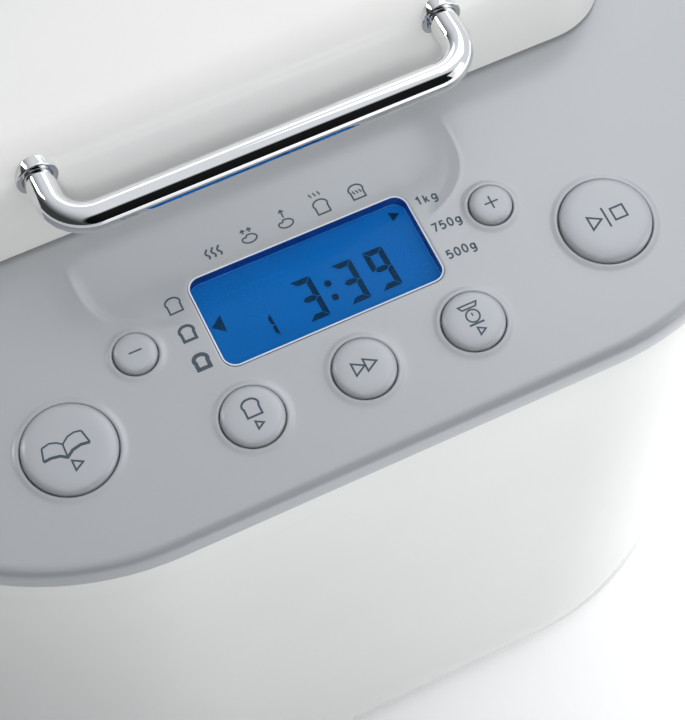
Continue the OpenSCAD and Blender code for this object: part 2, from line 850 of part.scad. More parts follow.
module pan_shaft() {
    low = oven_z + 5.5;
    key_z = pan_z + 4.2;
    color("silver") translate([0, oven_y, 0]) {
        translate([0, 0, low]) cylinder(h = key_z - low, r = pan_shaft_r);
        keyed(pan_shaft_r, key_z - tiny, pan_z + 24);
    }
}

module pan_dog() {
    low = oven_z + 5.5;
    color("gainsboro") translate([0, oven_y, low]) difference() {
        union() {
            cylinder(h = 4.5, r = 7.5);
            translate([-16, -3.5, 0]) cube([32, 7, 4.5]);
        }
        translate([0, 0, -1]) cylinder(h = 8, r = pan_shaft_r);
    }
}

module kneading_blade() {
    low = pan_z + 4.8;
    hub_top = low + 22;
    color("dimgray") translate([0, oven_y, 0]) difference() {
        union() {
            translate([0, 0, low]) cylinder(h = hub_top - low, r = 9);
            rotate([90, 0, 0]) translate([0, 0, -2.5]) linear_extrude(5) polygon([
                [4, low], [40, low - 2], [43, low + 2], [41, low + 11], [36, low + 16],
                [24, low + 18], [4, hub_top - 1]
            ]);
        }
        keyed(pan_shaft_r + 0.12, low - 5, hub_top - 1.5);
    }
}

body_shell();
top_deck();
base_plate();
rubber_feet();
base_screws();
cord_gland();
lid_cover();
lid_liner();
lid_screws();
lid_window();
window_gaskets();
inner_window();
lid_handle();
hinge_pins();
oven_chamber();
chamber_standoffs();
heating_element();
element_clips();
temperature_sensor();
pan_seat();
heat_shield();
drive_chassis();
bearing_housing();
output_bush();
output_shaft();
large_pulley();
drive_dog();
drive_belt();
motor_pulley();
motor_shaft();
motor_rotor();
motor_stator();
motor_windings();
motor_end_bells();
motor_mounts();
motor_capacitor();
power_pcb();
power_parts();
control_pcb();
control_ribbon();
tact_switches();
lcd_backlight();
lcd_panel();
lcd_frame();
display_lens();
pcb_screws();
for (k = KEYS) key(k);
bread_pan();
pan_base();
pan_bush();
pan_handle();
pan_shaft();
pan_dog();
kneading_blade();
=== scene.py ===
import json
from math import ceil, cos, exp, hypot, pi, radians, sin, tan

import bmesh
import bpy
from mathutils import Matrix, Vector
from mathutils.geometry import delaunay_2d_cdt


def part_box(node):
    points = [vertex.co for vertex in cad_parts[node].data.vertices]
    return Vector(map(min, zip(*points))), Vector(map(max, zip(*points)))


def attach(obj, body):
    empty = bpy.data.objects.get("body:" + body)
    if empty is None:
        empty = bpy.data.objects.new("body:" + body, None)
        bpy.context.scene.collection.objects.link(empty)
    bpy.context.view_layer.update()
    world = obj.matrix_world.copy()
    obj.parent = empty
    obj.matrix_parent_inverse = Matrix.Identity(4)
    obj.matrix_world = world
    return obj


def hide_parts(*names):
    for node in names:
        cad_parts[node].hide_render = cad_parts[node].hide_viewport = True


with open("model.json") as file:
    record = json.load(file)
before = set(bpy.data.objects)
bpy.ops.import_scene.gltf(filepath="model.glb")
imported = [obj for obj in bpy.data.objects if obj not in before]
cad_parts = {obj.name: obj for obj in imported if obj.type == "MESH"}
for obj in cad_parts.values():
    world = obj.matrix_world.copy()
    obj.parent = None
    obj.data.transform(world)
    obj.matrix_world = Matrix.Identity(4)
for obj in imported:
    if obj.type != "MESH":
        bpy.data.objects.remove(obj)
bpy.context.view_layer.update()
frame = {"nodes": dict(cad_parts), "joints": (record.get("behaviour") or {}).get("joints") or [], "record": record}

MM = 0.001


def box_mm(node):
    """A CAD node's lowest and highest corners at rest, in millimetres."""
    low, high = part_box(node)
    return low / MM, high / MM


# ---------- where things are, from the CAD ----------
WALL = 2.5
joints = {j["name"]: j for j in frame["joints"]}
SIN, COS = joints["press_menu"]["axis"][1], -joints["press_menu"]["axis"][2]
HINGE_Y, HINGE_Z = (Vector(joints["lid_hinge"]["pos_m"]) / MM).yz

lens_low, lens_high = box_mm("display_lens")
lens_size = lens_high - lens_low
LENS_V = (lens_size.y * COS - lens_size.z * SIN) / (2 * (COS * COS - SIN * SIN))
LENS_U = lens_high.x
LENS_R = 4.5
PANEL_Y = lens_low.y + LENS_V * COS
PANEL_Z = lens_high.z - LENS_V * SIN
oven_low, oven_high = box_mm("oven_chamber")
DECK_Z = oven_high.z + WALL
LEVEL_Y = PANEL_Y + (DECK_Z - PANEL_Z) * COS / SIN
deck_low, deck_high = box_mm("top_deck")
shell_low, shell_high = box_mm("body_shell")
BODY_W = deck_high.x - deck_low.x
FRONT, REAR = deck_low.y, deck_high.y
SKIRT = DECK_Z - shell_high.z
FRONT_R, REAR_R = 100, 70
TAPER = 10
SHOULDER = shell_low.z + 9
OVEN_Y = (oven_low.y + oven_high.y) / 2
OVEN = (216, 144, 12)  # across, back, corner radius
DOME = (214, 136)
PAN = (176, 120, 22)
lid_low, lid_high = box_mm("lid_cover")
LID_W, LID_H = lid_high.x - lid_low.x, lid_high.z - lid_low.z
glass_low, glass_high = box_mm("lid_window")
GLASS_W, GLASS_D = glass_high.x - glass_low.x, glass_high.y - glass_low.y
GLASS_Y = (glass_low.y + glass_high.y) / 2
BORE = 2.58  # radius of the holes for the hinge pins and the pan's handle
KEY_GAP = 0.35
KEY_FLANGE = 1.8
KEY_DROP = 3.7  # a key's box is centred this far under the panel


def key_place(node):
    """(across, up the slope, hole radius) of a key."""
    a, b = box_mm(node)
    v = ((a.y + b.y) / 2 - PANEL_Y - KEY_DROP * SIN) / COS
    return (a.x + b.x) / 2, v, (b.x - a.x) / 2 - KEY_FLANGE


KEYS = {n: key_place("button_" + n)
        for n in ("menu", "minus", "crust", "rapid", "size", "plus", "start_stop")}


def on_panel(u, v, w=0):
    """A point of the sloping panel: across, up the slope, and out of it."""
    return Vector((u, PANEL_Y + v * COS - w * SIN, PANEL_Z + v * SIN + w * COS))


def deck_height(y, blend=5):
    """Height of the deck's plain surface, softly bent where it turns level."""
    t = LEVEL_Y - y
    drop = max(0, t) if abs(t) >= blend else (t + blend) ** 2 / (4 * blend)
    return DECK_Z - drop * SIN / COS


def display_edge(grow, r, side):
    """The display window's outline on the panel, grown outwards."""
    u, v = LENS_U + grow, LENS_V + grow
    return outline(2 * u, -v, v, r, r, 10, side)


def smooth(t):
    t = min(1, max(0, t))
    return t * t * (3 - 2 * t)


scene = bpy.context.scene


def add_object(name, data):
    obj = bpy.data.objects.new(name, data)
    scene.collection.objects.link(obj)
    return obj


# ---------- camera: its axes and place are found in the panel's own directions ----------
AXES = Matrix(((0.9002, -0.4350, 0.0202), (0.3865, 0.8194, 0.4233), (-0.2007, -0.3732, 0.9058)))
tilt = Matrix(((1, 0, 0), (0, COS, -SIN), (0, SIN, COS)))
eye = on_panel(-133, -266.8, 579.1) * MM
lens = bpy.data.cameras.new("camera")
lens.lens = 105.65
lens.clip_start, lens.clip_end = 0.02, 20
camera = add_object("camera", lens)
turned_axes = Matrix([tilt @ axis for axis in AXES]).transposed()
camera.matrix_world = Matrix.Translation(eye) @ turned_axes.to_4x4()
scene.camera = camera
scene.view_settings.view_transform = "Standard"


# ---------- materials ----------
def feed(tree, target, inputs):
    """Fills a node's inputs: another node's socket is linked, anything else is the value."""
    for key, value in inputs.items():
        if isinstance(value, bpy.types.NodeSocket):
            tree.links.new(value, target.inputs[key])
        else:
            target.inputs[key].default_value = value


def node(tree, kind, inputs, **settings):
    made = tree.nodes.new("ShaderNode" + kind)
    for key, value in settings.items():
        setattr(made, key, value)
    feed(tree, made, inputs)
    return made


def feed_shader(m, inputs):
    feed(m.node_tree, m.node_tree.nodes["Principled BSDF"], inputs)
    return m


def new_material(colour, rough, metallic=0, coat=0, ior=1.5, transmission=0):
    m = bpy.data.materials.new("material")
    m.use_nodes = True
    return feed_shader(m, {"Base Color": (*colour, 1), "Roughness": rough, "Metallic": metallic,
                           "Coat Weight": coat, "Coat Roughness": rough / 2, "IOR": ior,
                           "Transmission Weight": transmission})


def texture(m, scale, detail=4, stretch=(1, 1, 1), kind="Noise", **settings):
    """A noise, wave or voronoi texture in the object's own coordinates, per metre."""
    where = node(m.node_tree, "TexCoord", {}).outputs["Object"]
    mapped = node(m.node_tree, "Mapping", {"Vector": where, "Scale": stretch}).outputs["Vector"]
    tex = node(m.node_tree, "Tex" + kind, {"Vector": mapped, "Scale": scale, "Detail": detail},
               **settings)
    return tex.outputs[0] if kind == "Voronoi" else tex.outputs["Fac"]


def ramp(m, source, *stops):
    """Colours along a texture: stops are (place, colour)."""
    made = node(m.node_tree, "ValToRGB", {"Fac": source})
    elements = made.color_ramp.elements
    for element, (place, colour) in zip(elements, (stops[0], stops[-1])):
        element.position, element.color = place, (*colour, 1)
    for place, colour in stops[1:-1]:
        elements.new(place).color = (*colour, 1)
    return made.outputs["Color"]


def map_range(tree, value, limits, **settings):
    """A value mapped by limits, which are (from low, from high, to low, to high)."""
    names = ("From Min", "From Max", "To Min", "To Max")
    inputs = {"Value": value, **dict(zip(names, limits))}
    return node(tree, "MapRange", inputs, **settings).outputs["Result"]


# The renderer's noise filter takes surfaces below this roughness as mirrors and the others as
# matt, and draws a thin line on a surface whose roughness passes it.
FILTER_EDGE = 0.274


def spread(m, source, low, high):
    """A texture's value mapped to about low..high, without passing FILTER_EDGE."""
    middle = (low + high) / 2
    reach = min((high - low) * 1.1, middle * 0.9, abs(middle - FILTER_EDGE) * 0.9)
    return map_range(m.node_tree, source, (0, 1, middle - reach, middle + reach))


def shade(colour, k):
    return tuple(min(1, c * k) for c in colour)


def toned(m, source, colour, vary):
    """A colour that a texture takes a little lighter and darker."""
    return ramp(m, source, (0, shade(colour, 1 - 2 * vary)), (1, shade(colour, 1 + 2 * vary)))


def dress(m, layers, gloss=None, colour=None):
    """Links a roughness, a colour and bump from (texture, depth in metres) layers to a shader."""
    normal = None
    for source, depth in layers:
        inputs = {"Height": source, "Distance": depth, "Strength": 1.0}
        if normal:
            inputs["Normal"] = normal
        normal = node(m.node_tree, "Bump", inputs).outputs["Normal"]
    inputs = {"Normal": normal, "Roughness": gloss, "Base Color": colour}
    return feed_shader(m, {key: socket for key, socket in inputs.items() if socket})


def moulded(colour, rough, coat=0, grain=2e-6, vary=0.03, metallic=0):
    """Injection-moulded plastic: faint flow marks in tone and gloss, and a soft surface wave."""
    m = new_material(colour, rough, metallic, coat)
    flow, fine = texture(m, 9, 3), texture(m, 2600, 2)
    soft = texture(m, 55, 1, normalize=False)
    return dress(m, [(soft, 5e-6), (fine, grain)], spread(m, flow, rough * 0.85, rough * 1.2),
                 toned(m, flow, colour, vary))


def metal(colour, rough, stretch=(1, 1, 1), scale=900, depth=4e-6, vary=0.08):
    """Metal with a grain: brushed where the stretch is long, cast where it is even."""
    m = new_material(colour, rough, 1)
    grain, cloud = texture(m, scale, 5, stretch), texture(m, 14, 4)
    return dress(m, [(grain, depth)], spread(m, grain, rough * 0.75, rough * 1.35),
                 toned(m, cloud, colour, vary))


def banded(dark, light, rough, axis, scale, metallic=0):
    """Stacked or wound material: fine even bands across one axis."""
    m = new_material(dark, rough, metallic)
    lines = texture(m, scale, 1, kind="Wave", bands_direction=axis)
    cloud = texture(m, 60, 4)
    return dress(m, [(lines, 8e-5), (cloud, 2e-5)], spread(m, cloud, rough * 0.8, rough * 1.2),
                 ramp(m, lines, (0.2, dark), (0.8, light)))


def speckled(base, fleck, rough):
    """Dark non-stick coating with fine flecks."""
    m = new_material(base, rough)
    spots, cloud = texture(m, 900, kind="Voronoi"), texture(m, 30, 5)
    colour = ramp(m, spots, (0, fleck), (0.16, shade(base, 1.15)), (1, base))
    return dress(m, [(texture(m, 1500, 3), 3e-5)],
                 spread(m, cloud, rough * 0.8, rough * 1.25), colour)


def board():
    """Solder mask over a faint grid of copper tracks."""
    m = new_material((0.02, 0.16, 0.06), 0.35)
    tracks = texture(m, 260, kind="Voronoi", distance="MANHATTAN", feature="F1")
    colour = ramp(m, tracks, (0, (0.5, 0.45, 0.25)), (0.1, (0.03, 0.2, 0.08)),
                  (0.45, (0.02, 0.15, 0.06)), (1, (0.02, 0.12, 0.05)))
    return dress(m, [(tracks, 3e-5)], colour=colour)


def clear(colour, ior=1.46, rough=0.01):
    """Glass or clear plastic, with the faintest ripple."""
    m = new_material(colour, rough, ior=ior, transmission=1)
    ripple = texture(m, 20, 1)
    return dress(m, [(ripple, 4e-6)], spread(m, ripple, rough, rough * 2.5))


def screen():
    """The lit screen: blue from the backlight, in faint clouds."""
    m = new_material((0, 0.08, 0.4), 0.3)
    colour = ramp(m, texture(m, 22, 2), (0, (0, 0.098, 0.285)), (1, (0, 0.132, 0.365)))
    return feed_shader(m, {"Base Color": colour, "Emission Color": colour,
                           "Emission Strength": 0.45})


def chrome():
    m = new_material((0.86, 0.87, 0.88), 0.05, 1)
    haze, hair = texture(m, 40, 5), texture(m, 1400, 2, (0.05, 1, 1))
    colour = ramp(m, haze, (0, (0.78, 0.79, 0.80)), (1, (0.94, 0.945, 0.95)))
    return dress(m, [(hair, 6e-7)], spread(m, haze, 0.025, 0.08), colour)


MATERIALS = {
    "white_casing": moulded((0.81, 0.805, 0.78), 0.13, 0.5),
    "grey_deck": moulded((0.45, 0.463, 0.48), 0.3, 0.3, metallic=0.3),
    "key_grey": moulded((0.46, 0.472, 0.495), 0.33, 0.25, metallic=0.25),
    # Pale bluish-white plastic for the thin ring round the display window: its light colour is a painted highlight
    # of the window's edge.
    "pale_highlight_trim": moulded((0.72, 0.76, 0.84), 0.2, 0.5),
    "base_plastic": moulded((0.045, 0.045, 0.048), 0.55, grain=2e-5, vary=0.1),
    "black_plastic": moulded((0.012, 0.012, 0.014), 0.5, grain=2e-5, vary=0.2),
    "rubber": moulded((0.015, 0.015, 0.015), 0.75, grain=4e-5, vary=0.2),
    "chrome_trim": chrome(),
    "clear_glass": clear((0.93, 0.97, 0.98)),
    "display_blue": clear((0.3, 0.8, 1), 1.15),
    "lcd_blue": screen(),
    "aluminium_sheet": metal((0.72, 0.725, 0.74), 0.33, (1, 1, 0.03), 900, 8e-7, 0.05),
    "cast_alloy": metal((0.52, 0.53, 0.55), 0.45, scale=1100, depth=3e-5),
    "steel": metal((0.62, 0.61, 0.58), 0.28, (0.05, 1, 1), scale=1300),
    "element_steel": metal((0.16, 0.145, 0.14), 0.42, scale=500, depth=2e-5, vary=0.35),
    "non_stick": speckled((0.035, 0.035, 0.038), (0.2, 0.2, 0.21), 0.38),
    "bronze": metal((0.62, 0.40, 0.17), 0.4, scale=1500, depth=2e-5),
    "laminations": banded((0.05, 0.05, 0.055), (0.17, 0.17, 0.18), 0.45, "Z", 320, 0.8),
    "copper_wire": banded((0.30, 0.10, 0.04), (0.75, 0.33, 0.14), 0.3, "Z", 260, 0.9),
    "circuit_board": board(),
    "board_parts": moulded((0.02, 0.02, 0.024), 0.4, grain=2e-5, vary=0.25),
    "ribbon": banded((0.28, 0.28, 0.30), (0.50, 0.50, 0.52), 0.45, "X", 130),
    "print": moulded((0.055, 0.08, 0.105), 0.5, vary=0.1),
    "segment": moulded((0, 0.006, 0.05), 0.35, vary=0.1),
    "display_lip": moulded((0.12, 0.3, 0.72), 0.3, vary=0.08),
    "display_frame": moulded((0, 0.06, 0.30), 0.25, vary=0.08),
}
for name, made in MATERIALS.items():
    made.name = name


def paint(cad_node, slot):
    slots = frame["nodes"][cad_node].data.materials
    slots.clear()
    slots.append(MATERIALS[slot])


for row in frame["record"]["subparts"]:
    paint(row["node"], row["material_slot"])
paint("lcd_frame", "display_frame")


# ---------- mesh building ----------
def reshape(mesh, work):
    """Runs work on the mesh's bmesh and writes it back."""
    bm = bmesh.new()
    bm.from_mesh(mesh)
    work(bm)
    bm.to_mesh(mesh)
    bm.free()


def new_object(name, points, faces):
    """An object from points in millimetres."""
    mesh = bpy.data.meshes.new(name)
    mesh.from_pydata([Vector(p) * MM for p in points], [], faces)
    return add_object(name, mesh)


def face_outwards(bm):
    bmesh.ops.recalc_face_normals(bm, faces=bm.faces)


def soften(obj, angle=32):
    """Smooth shading, with edges sharper than angle kept crisp."""
    def work(bm):
        limit = radians(angle)
        for f in bm.faces:
            f.smooth = True
        for e in bm.edges:
            e.smooth = len(e.link_faces) == 2 and e.calc_face_angle(0) < limit
    reshape(obj.data, work)


def piece(name, shape, body, slot, replaces=(), angle=32, material=None):
    """A piece of the visual model from (points, faces) in millimetres."""
    obj = new_object(name, *shape)

    def clean(bm):
        bmesh.ops.remove_doubles(bm, verts=bm.verts, dist=1e-6)
        bmesh.ops.dissolve_degenerate(bm, edges=bm.edges, dist=1e-7)
        face_outwards(bm)
    reshape(obj.data, clean)
    obj.data.materials.append(MATERIALS[material or slot])
    soften(obj, angle)
    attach(obj, body)
    if replaces:
        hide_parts(*replaces)
    return obj


def cut(obj, shape):
    """Takes a closed cutter out of a piece."""
    cutter = new_object("cutter", *shape)
    reshape(cutter.data, face_outwards)
    mod = obj.modifiers.new("cut", "BOOLEAN")
    mod.operation, mod.solver, mod.object = "DIFFERENCE", "EXACT", cutter
    seen = obj.evaluated_get(bpy.context.evaluated_depsgraph_get())
    result = bpy.data.meshes.new_from_object(seen)
    obj.modifiers.clear()
    obj.data = result
    bpy.data.objects.remove(cutter)
    soften(obj)


def merge(*parts):
    """Several (points, faces) as one."""
    points, faces = [], []
    for p, f in parts:
        start = len(points)
        points += list(p)
        faces += [tuple(i + start for i in face) for face in f]
    return points, faces


def loft(rings, wrap=False, caps=True):
    """Quads between rings of equal length. wrap joins the last ring to the first, and without
    it the ends are capped."""
    n = len(rings[0])
    points = [p for ring in rings for p in ring]
    faces = []
    for i in range(len(rings) if wrap else len(rings) - 1):
        a, b = i * n, (i + 1) % len(rings) * n
        faces += [(a + k, a + (k + 1) % n, b + (k + 1) % n, b + k) for k in range(n)]
    if caps and not wrap:
        faces += [tuple(range(n)), tuple(range(len(points) - n, len(points)))]
    return points, faces


def sections(axis, rows):
    """Rings from flat shapes, each standing at a place along an axis: 0 is across, 1 is back."""
    return [[(*p[:axis], place, *p[axis:]) for p in shape] for place, shape in rows]


def prism(shape, axis, *ends):
    """A flat shape drawn out along an axis."""
    return loft(sections(axis, [(end, shape) for end in ends]))


def at(points, z):
    return [(x, y, z) for x, y in points]


def arc(cx, cy, r, start, end, n):
    steps = [radians(start + (end - start) * i / n) for i in range(n + 1)]
    return [(cx + r * cos(a), cy + r * sin(a)) for a in steps]


def circle(cx, cy, rx, n, ry=None, count=None):
    """Points of an n-sided circle or oval."""
    ry = rx if ry is None else ry
    return [(cx + rx * cos(a), cy + ry * sin(a)) for a in
            (2 * pi * k / n for k in range(count or n))]


def towards(points, cx, cy, r):
    """A circle whose points line up with those of another outline."""
    found = []
    for x, y in points:
        d = hypot(x - cx, y - cy)
        found.append((cx + (x - cx) / d * r, cy + (y - cy) / d * r))
    return found


def drawn_in(points, middle, by):
    """Flat points moved towards a middle."""
    middle = Vector(middle)
    return [tuple(Vector(p) + (middle - Vector(p)).normalized() * by) for p in points]


def outline(w, y0, y1, rf, rr, n=20, side=20, cx=0):
    """A rounded rectangle, its front and rear corners of radius rf and rr. The same n and side
    give the same count of points."""
    corners = [(cx + w / 2 - rf, y0 + rf, rf, 270), (cx + w / 2 - rr, y1 - rr, rr, 0),
               (cx - w / 2 + rr, y1 - rr, rr, 90), (cx - w / 2 + rf, y0 + rf, rf, 180)]
    arcs = [arc(x, y, r, a, a + 90, n) for x, y, r, a in corners]
    points = []
    for run, after in zip(arcs, arcs[1:] + arcs[:1]):
        (ax, ay), (bx, by) = run[-1], after[0]
        points += run
        points += [(ax + (bx - ax) * k / side, ay + (by - ay) * k / side)
                   for k in range(1, side)]
    return points


def round_box(size, y, r, grow=0, n=10, side=16):
    """A rounded rectangle about the middle line, grown outwards."""
    return outline(size[0] + 2 * grow, y - size[1] / 2 - grow, y + size[1] / 2 + grow, r, r, n,
                   side)


def rounded(stops, n=6):
    """A profile of (inset, z) points whose corners are rounded; a stop is (inset, z, radius)."""
    out = []
    for i, (a, z, r) in enumerate(stops):
        if r == 0 or i in (0, len(stops) - 1):
            out.append((a, z))
            continue
        p = Vector((a, z))
        before, after = (Vector(stops[j][:2]) - p for j in (i - 1, i + 1))
        reach = min(r, before.length / 2.01, after.length / 2.01)
        p0, p1 = p + before.normalized() * reach, p + after.normalized() * reach
        for k in range(n + 1):
            t = k / n
            q = p0 * (1 - t) ** 2 + p * 2 * t * (1 - t) + p1 * t ** 2
            out.append((q.x, q.y))
    return out


def lathe(profile, n, place):
    """A solid of n sides turned from (radius, z) points; a profile off the axis makes a ring."""
    points, faces = [], []
    size = len(profile)
    for k in range(n):
        turn = 2 * pi * k / n
        points += [place(r * cos(turn), r * sin(turn), z) for r, z in profile]
        a, b = k * size, (k + 1) % n * size
        faces += [(a + i, b + i, b + i + 1, a + i + 1) for i in range(size - 1)]
        if profile[0][0] > 0.01:
            faces.append((a + size - 1, b + size - 1, b, a))
    return points, faces


def bent_path(corners, r, n=10):
    """The points of a wire through corners, each bend of radius r."""
    path = [Vector(corners[0])]
    for i in range(1, len(corners) - 1):
        p = Vector(corners[i])
        a, b = ((Vector(corners[j]) - p).normalized() for j in (i - 1, i + 1))
        half = a.angle(b) / 2
        reach = r / tan(half)
        centre = p + (a + b).normalized() * (r / sin(half))
        start, end = p + a * reach - centre, p + b * reach - centre
        total = start.angle(end)
        for k in range(n + 1):
            t = k / n
            q = start * sin((1 - t) * total) + end * sin(t * total)
            path.append(centre + q / sin(total))
    path.append(Vector(corners[-1]))
    return path


def tube(path, r, n=24, tip=0):
    """A round bar of n sides along a path, its ends rounded over by tip."""
    def section(p, tangent, radius):
        side = tangent.cross(Vector((0, 0, 1))).normalized()
        top = side.cross(tangent).normalized()
        return [p + side * radius * cos(a) + top * radius * sin(a)
                for a in (2 * pi * k / n for k in range(n))]
    rings = []
    last = len(path) - 1
    for i, p in enumerate(path):
        tangent = (path[min(last, i + 1)] - path[max(0, i - 1)]).normalized()
        turns = [pi / 2, pi / 4, 0] if tip and i in (0, last) else []
        inwards = tip if i == 0 else -tip
        for t in turns if i == 0 else reversed(turns):
            rings.append(section(p + tangent * inwards * (1 - sin(t)), tangent,
                                 r - tip * (1 - cos(t))))
        if not turns:
            rings.append(section(p, tangent, r))
    return loft(rings)


# ---------- casing ----------
def casing(inset, step=0, n=28, side=30):
    """The casing's outline: a wall's inset keeps the corners' centres, a step their radius."""
    both = inset + step
    return outline(BODY_W - 2 * both, FRONT + both, REAR - both, FRONT_R - inset, REAR_R - inset,
                   n, side)


PLAIN, INSET, STEPPED = casing(0), casing(10), casing(0, 10)


def rim_point(k, inset, step=0):
    """Point k of the casing's outline at any inset and step."""
    return tuple(p + (a - p) * inset / 10 + (b - p) * step / 10
                 for p, a, b in zip(PLAIN[k], INSET[k], STEPPED[k]))


def flat_ring(step, z):
    return [(*rim_point(k, 0, step), z) for k in range(len(PLAIN))]


def shell_ring(t, inset=0, drop=0):
    """A ring of the casing's wall, from t = 0 at the shoulder to 1 at the seam under the deck."""
    ring = []
    for k, (x, y) in enumerate(PLAIN):
        z = SHOULDER + t * (deck_height(y) - SKIRT - drop - SHOULDER)
        step = TAPER * (DECK_Z - max(z, SHOULDER)) / (DECK_Z - SHOULDER)
        ring.append((*rim_point(k, inset, step), z))
    return ring


def build_casing():
    z0 = shell_low.z
    foot = rounded([(TAPER + 5.5, z0, 0), (TAPER + 3, z0, 3.2), (TAPER, SHOULDER, 0)], 8)
    rings = [flat_ring(a, z) for a, z in foot[:-1]]
    rings += [shell_ring(t / 16) for t in range(16)]
    rings += [shell_ring(1, inset, drop) for inset, drop in
              ((0, 0.5), (0.08, 0.25), (0.3, 0.12), (WALL, 0.12))]
    rings += [shell_ring(1 - t / 4, WALL) for t in range(1, 5)]
    rings.append(flat_ring(TAPER + 5.5, z0 + 1.5))
    obj = piece("casing", loft(rings, wrap=True), "base", "white_casing", ["body_shell"])
    for x in (-35, 35):
        for row in range(5):
            z = 81.75 + 9 * row
            vent = outline(50, z - 1.75, z + 1.75, 1.7, 1.7, 5, 6, cx=x)
            cut(obj, prism(vent, 1, REAR - 18, REAR + 5))
    a, b = box_mm("cord_gland")
    entry = circle((a.x + b.x) / 2, (a.z + b.z) / 2, 6.3, 48)
    cut(obj, prism(entry, 1, REAR - 25, REAR + 5))


# ---------- deck ----------
SCOOP = (-4, 31, 64.5, 30.3, 3)  # centre across and up, half sizes, power
SCOOP_TOP = 40


def scoop_edge(u, v):
    """Distance in from the outline of the finger recess behind the display."""
    cu, cv, a, b, n = SCOOP
    x, y = abs(u - cu) / a, max(0, cv - v) / b
    reach = max(1e-6, (x ** n + y ** n) ** (1 / n))
    slope = hypot((x / reach) ** (n - 1) / a, (y / reach) ** (n - 1) / b)
    return (1 - reach) / max(slope, 1e-4)


def scoop(u, v):
    """Depth of the recess. It has a low lip, and fades out at the display, the small keys and
    the handle."""
    edge = scoop_edge(u, v)
    from_display = hypot(max(0, abs(u) - LENS_U), max(0, v - LENS_V)) - 1
    fade = smooth(from_display / 9) * smooth((SCOOP_TOP - v) / 12)
    if fade > 0:
        near = min(hypot(u - x, v - y) - r for x, y, r in (KEYS["minus"], KEYS["plus"]))
        fade *= smooth((near - 3) / 3)
    lip = 0.15 * smooth((edge + 1.5) / 1.2) * smooth((1.1 - edge) / 1.3)
    return fade * (0.32 * smooth(edge / 4) - lip)


# The rings round a hole in the deck: (distance from its edge, height over the deck).
KEY_RINGS = [(0, 0.05), (0.12, 0.3), (0.35, 0.46), (0.7, 0.5), (1.2, 0.42), (1.7, 0.22),
             (2.2, 0.06), (2.9, 0)]
EDGE_RINGS = [(0, -0.5), (0.12, -0.2), (0.35, -0.04), (0.7, 0), (1.4, 0)]
PLATE = 4.3  # how far in from the casing's side the flat part of the deck starts


def inside_rim(x, y, inset):
    r = (FRONT_R if y < 0 else REAR_R) - inset
    past_side = abs(x) - BODY_W / 2 + inset + r
    past_end = (FRONT - y if y < 0 else y - REAR) + inset + r
    return hypot(max(0, past_side), max(0, past_end)) <= r


def in_recess(x, v):
    return abs(x) < 74 and -4 < v < 40


def in_band(x, v):
    """Whether a point is at the recess's outline, where the mesh is finest."""
    return in_recess(x, v) and -2.2 < scoop_edge(x, v) < 4.5


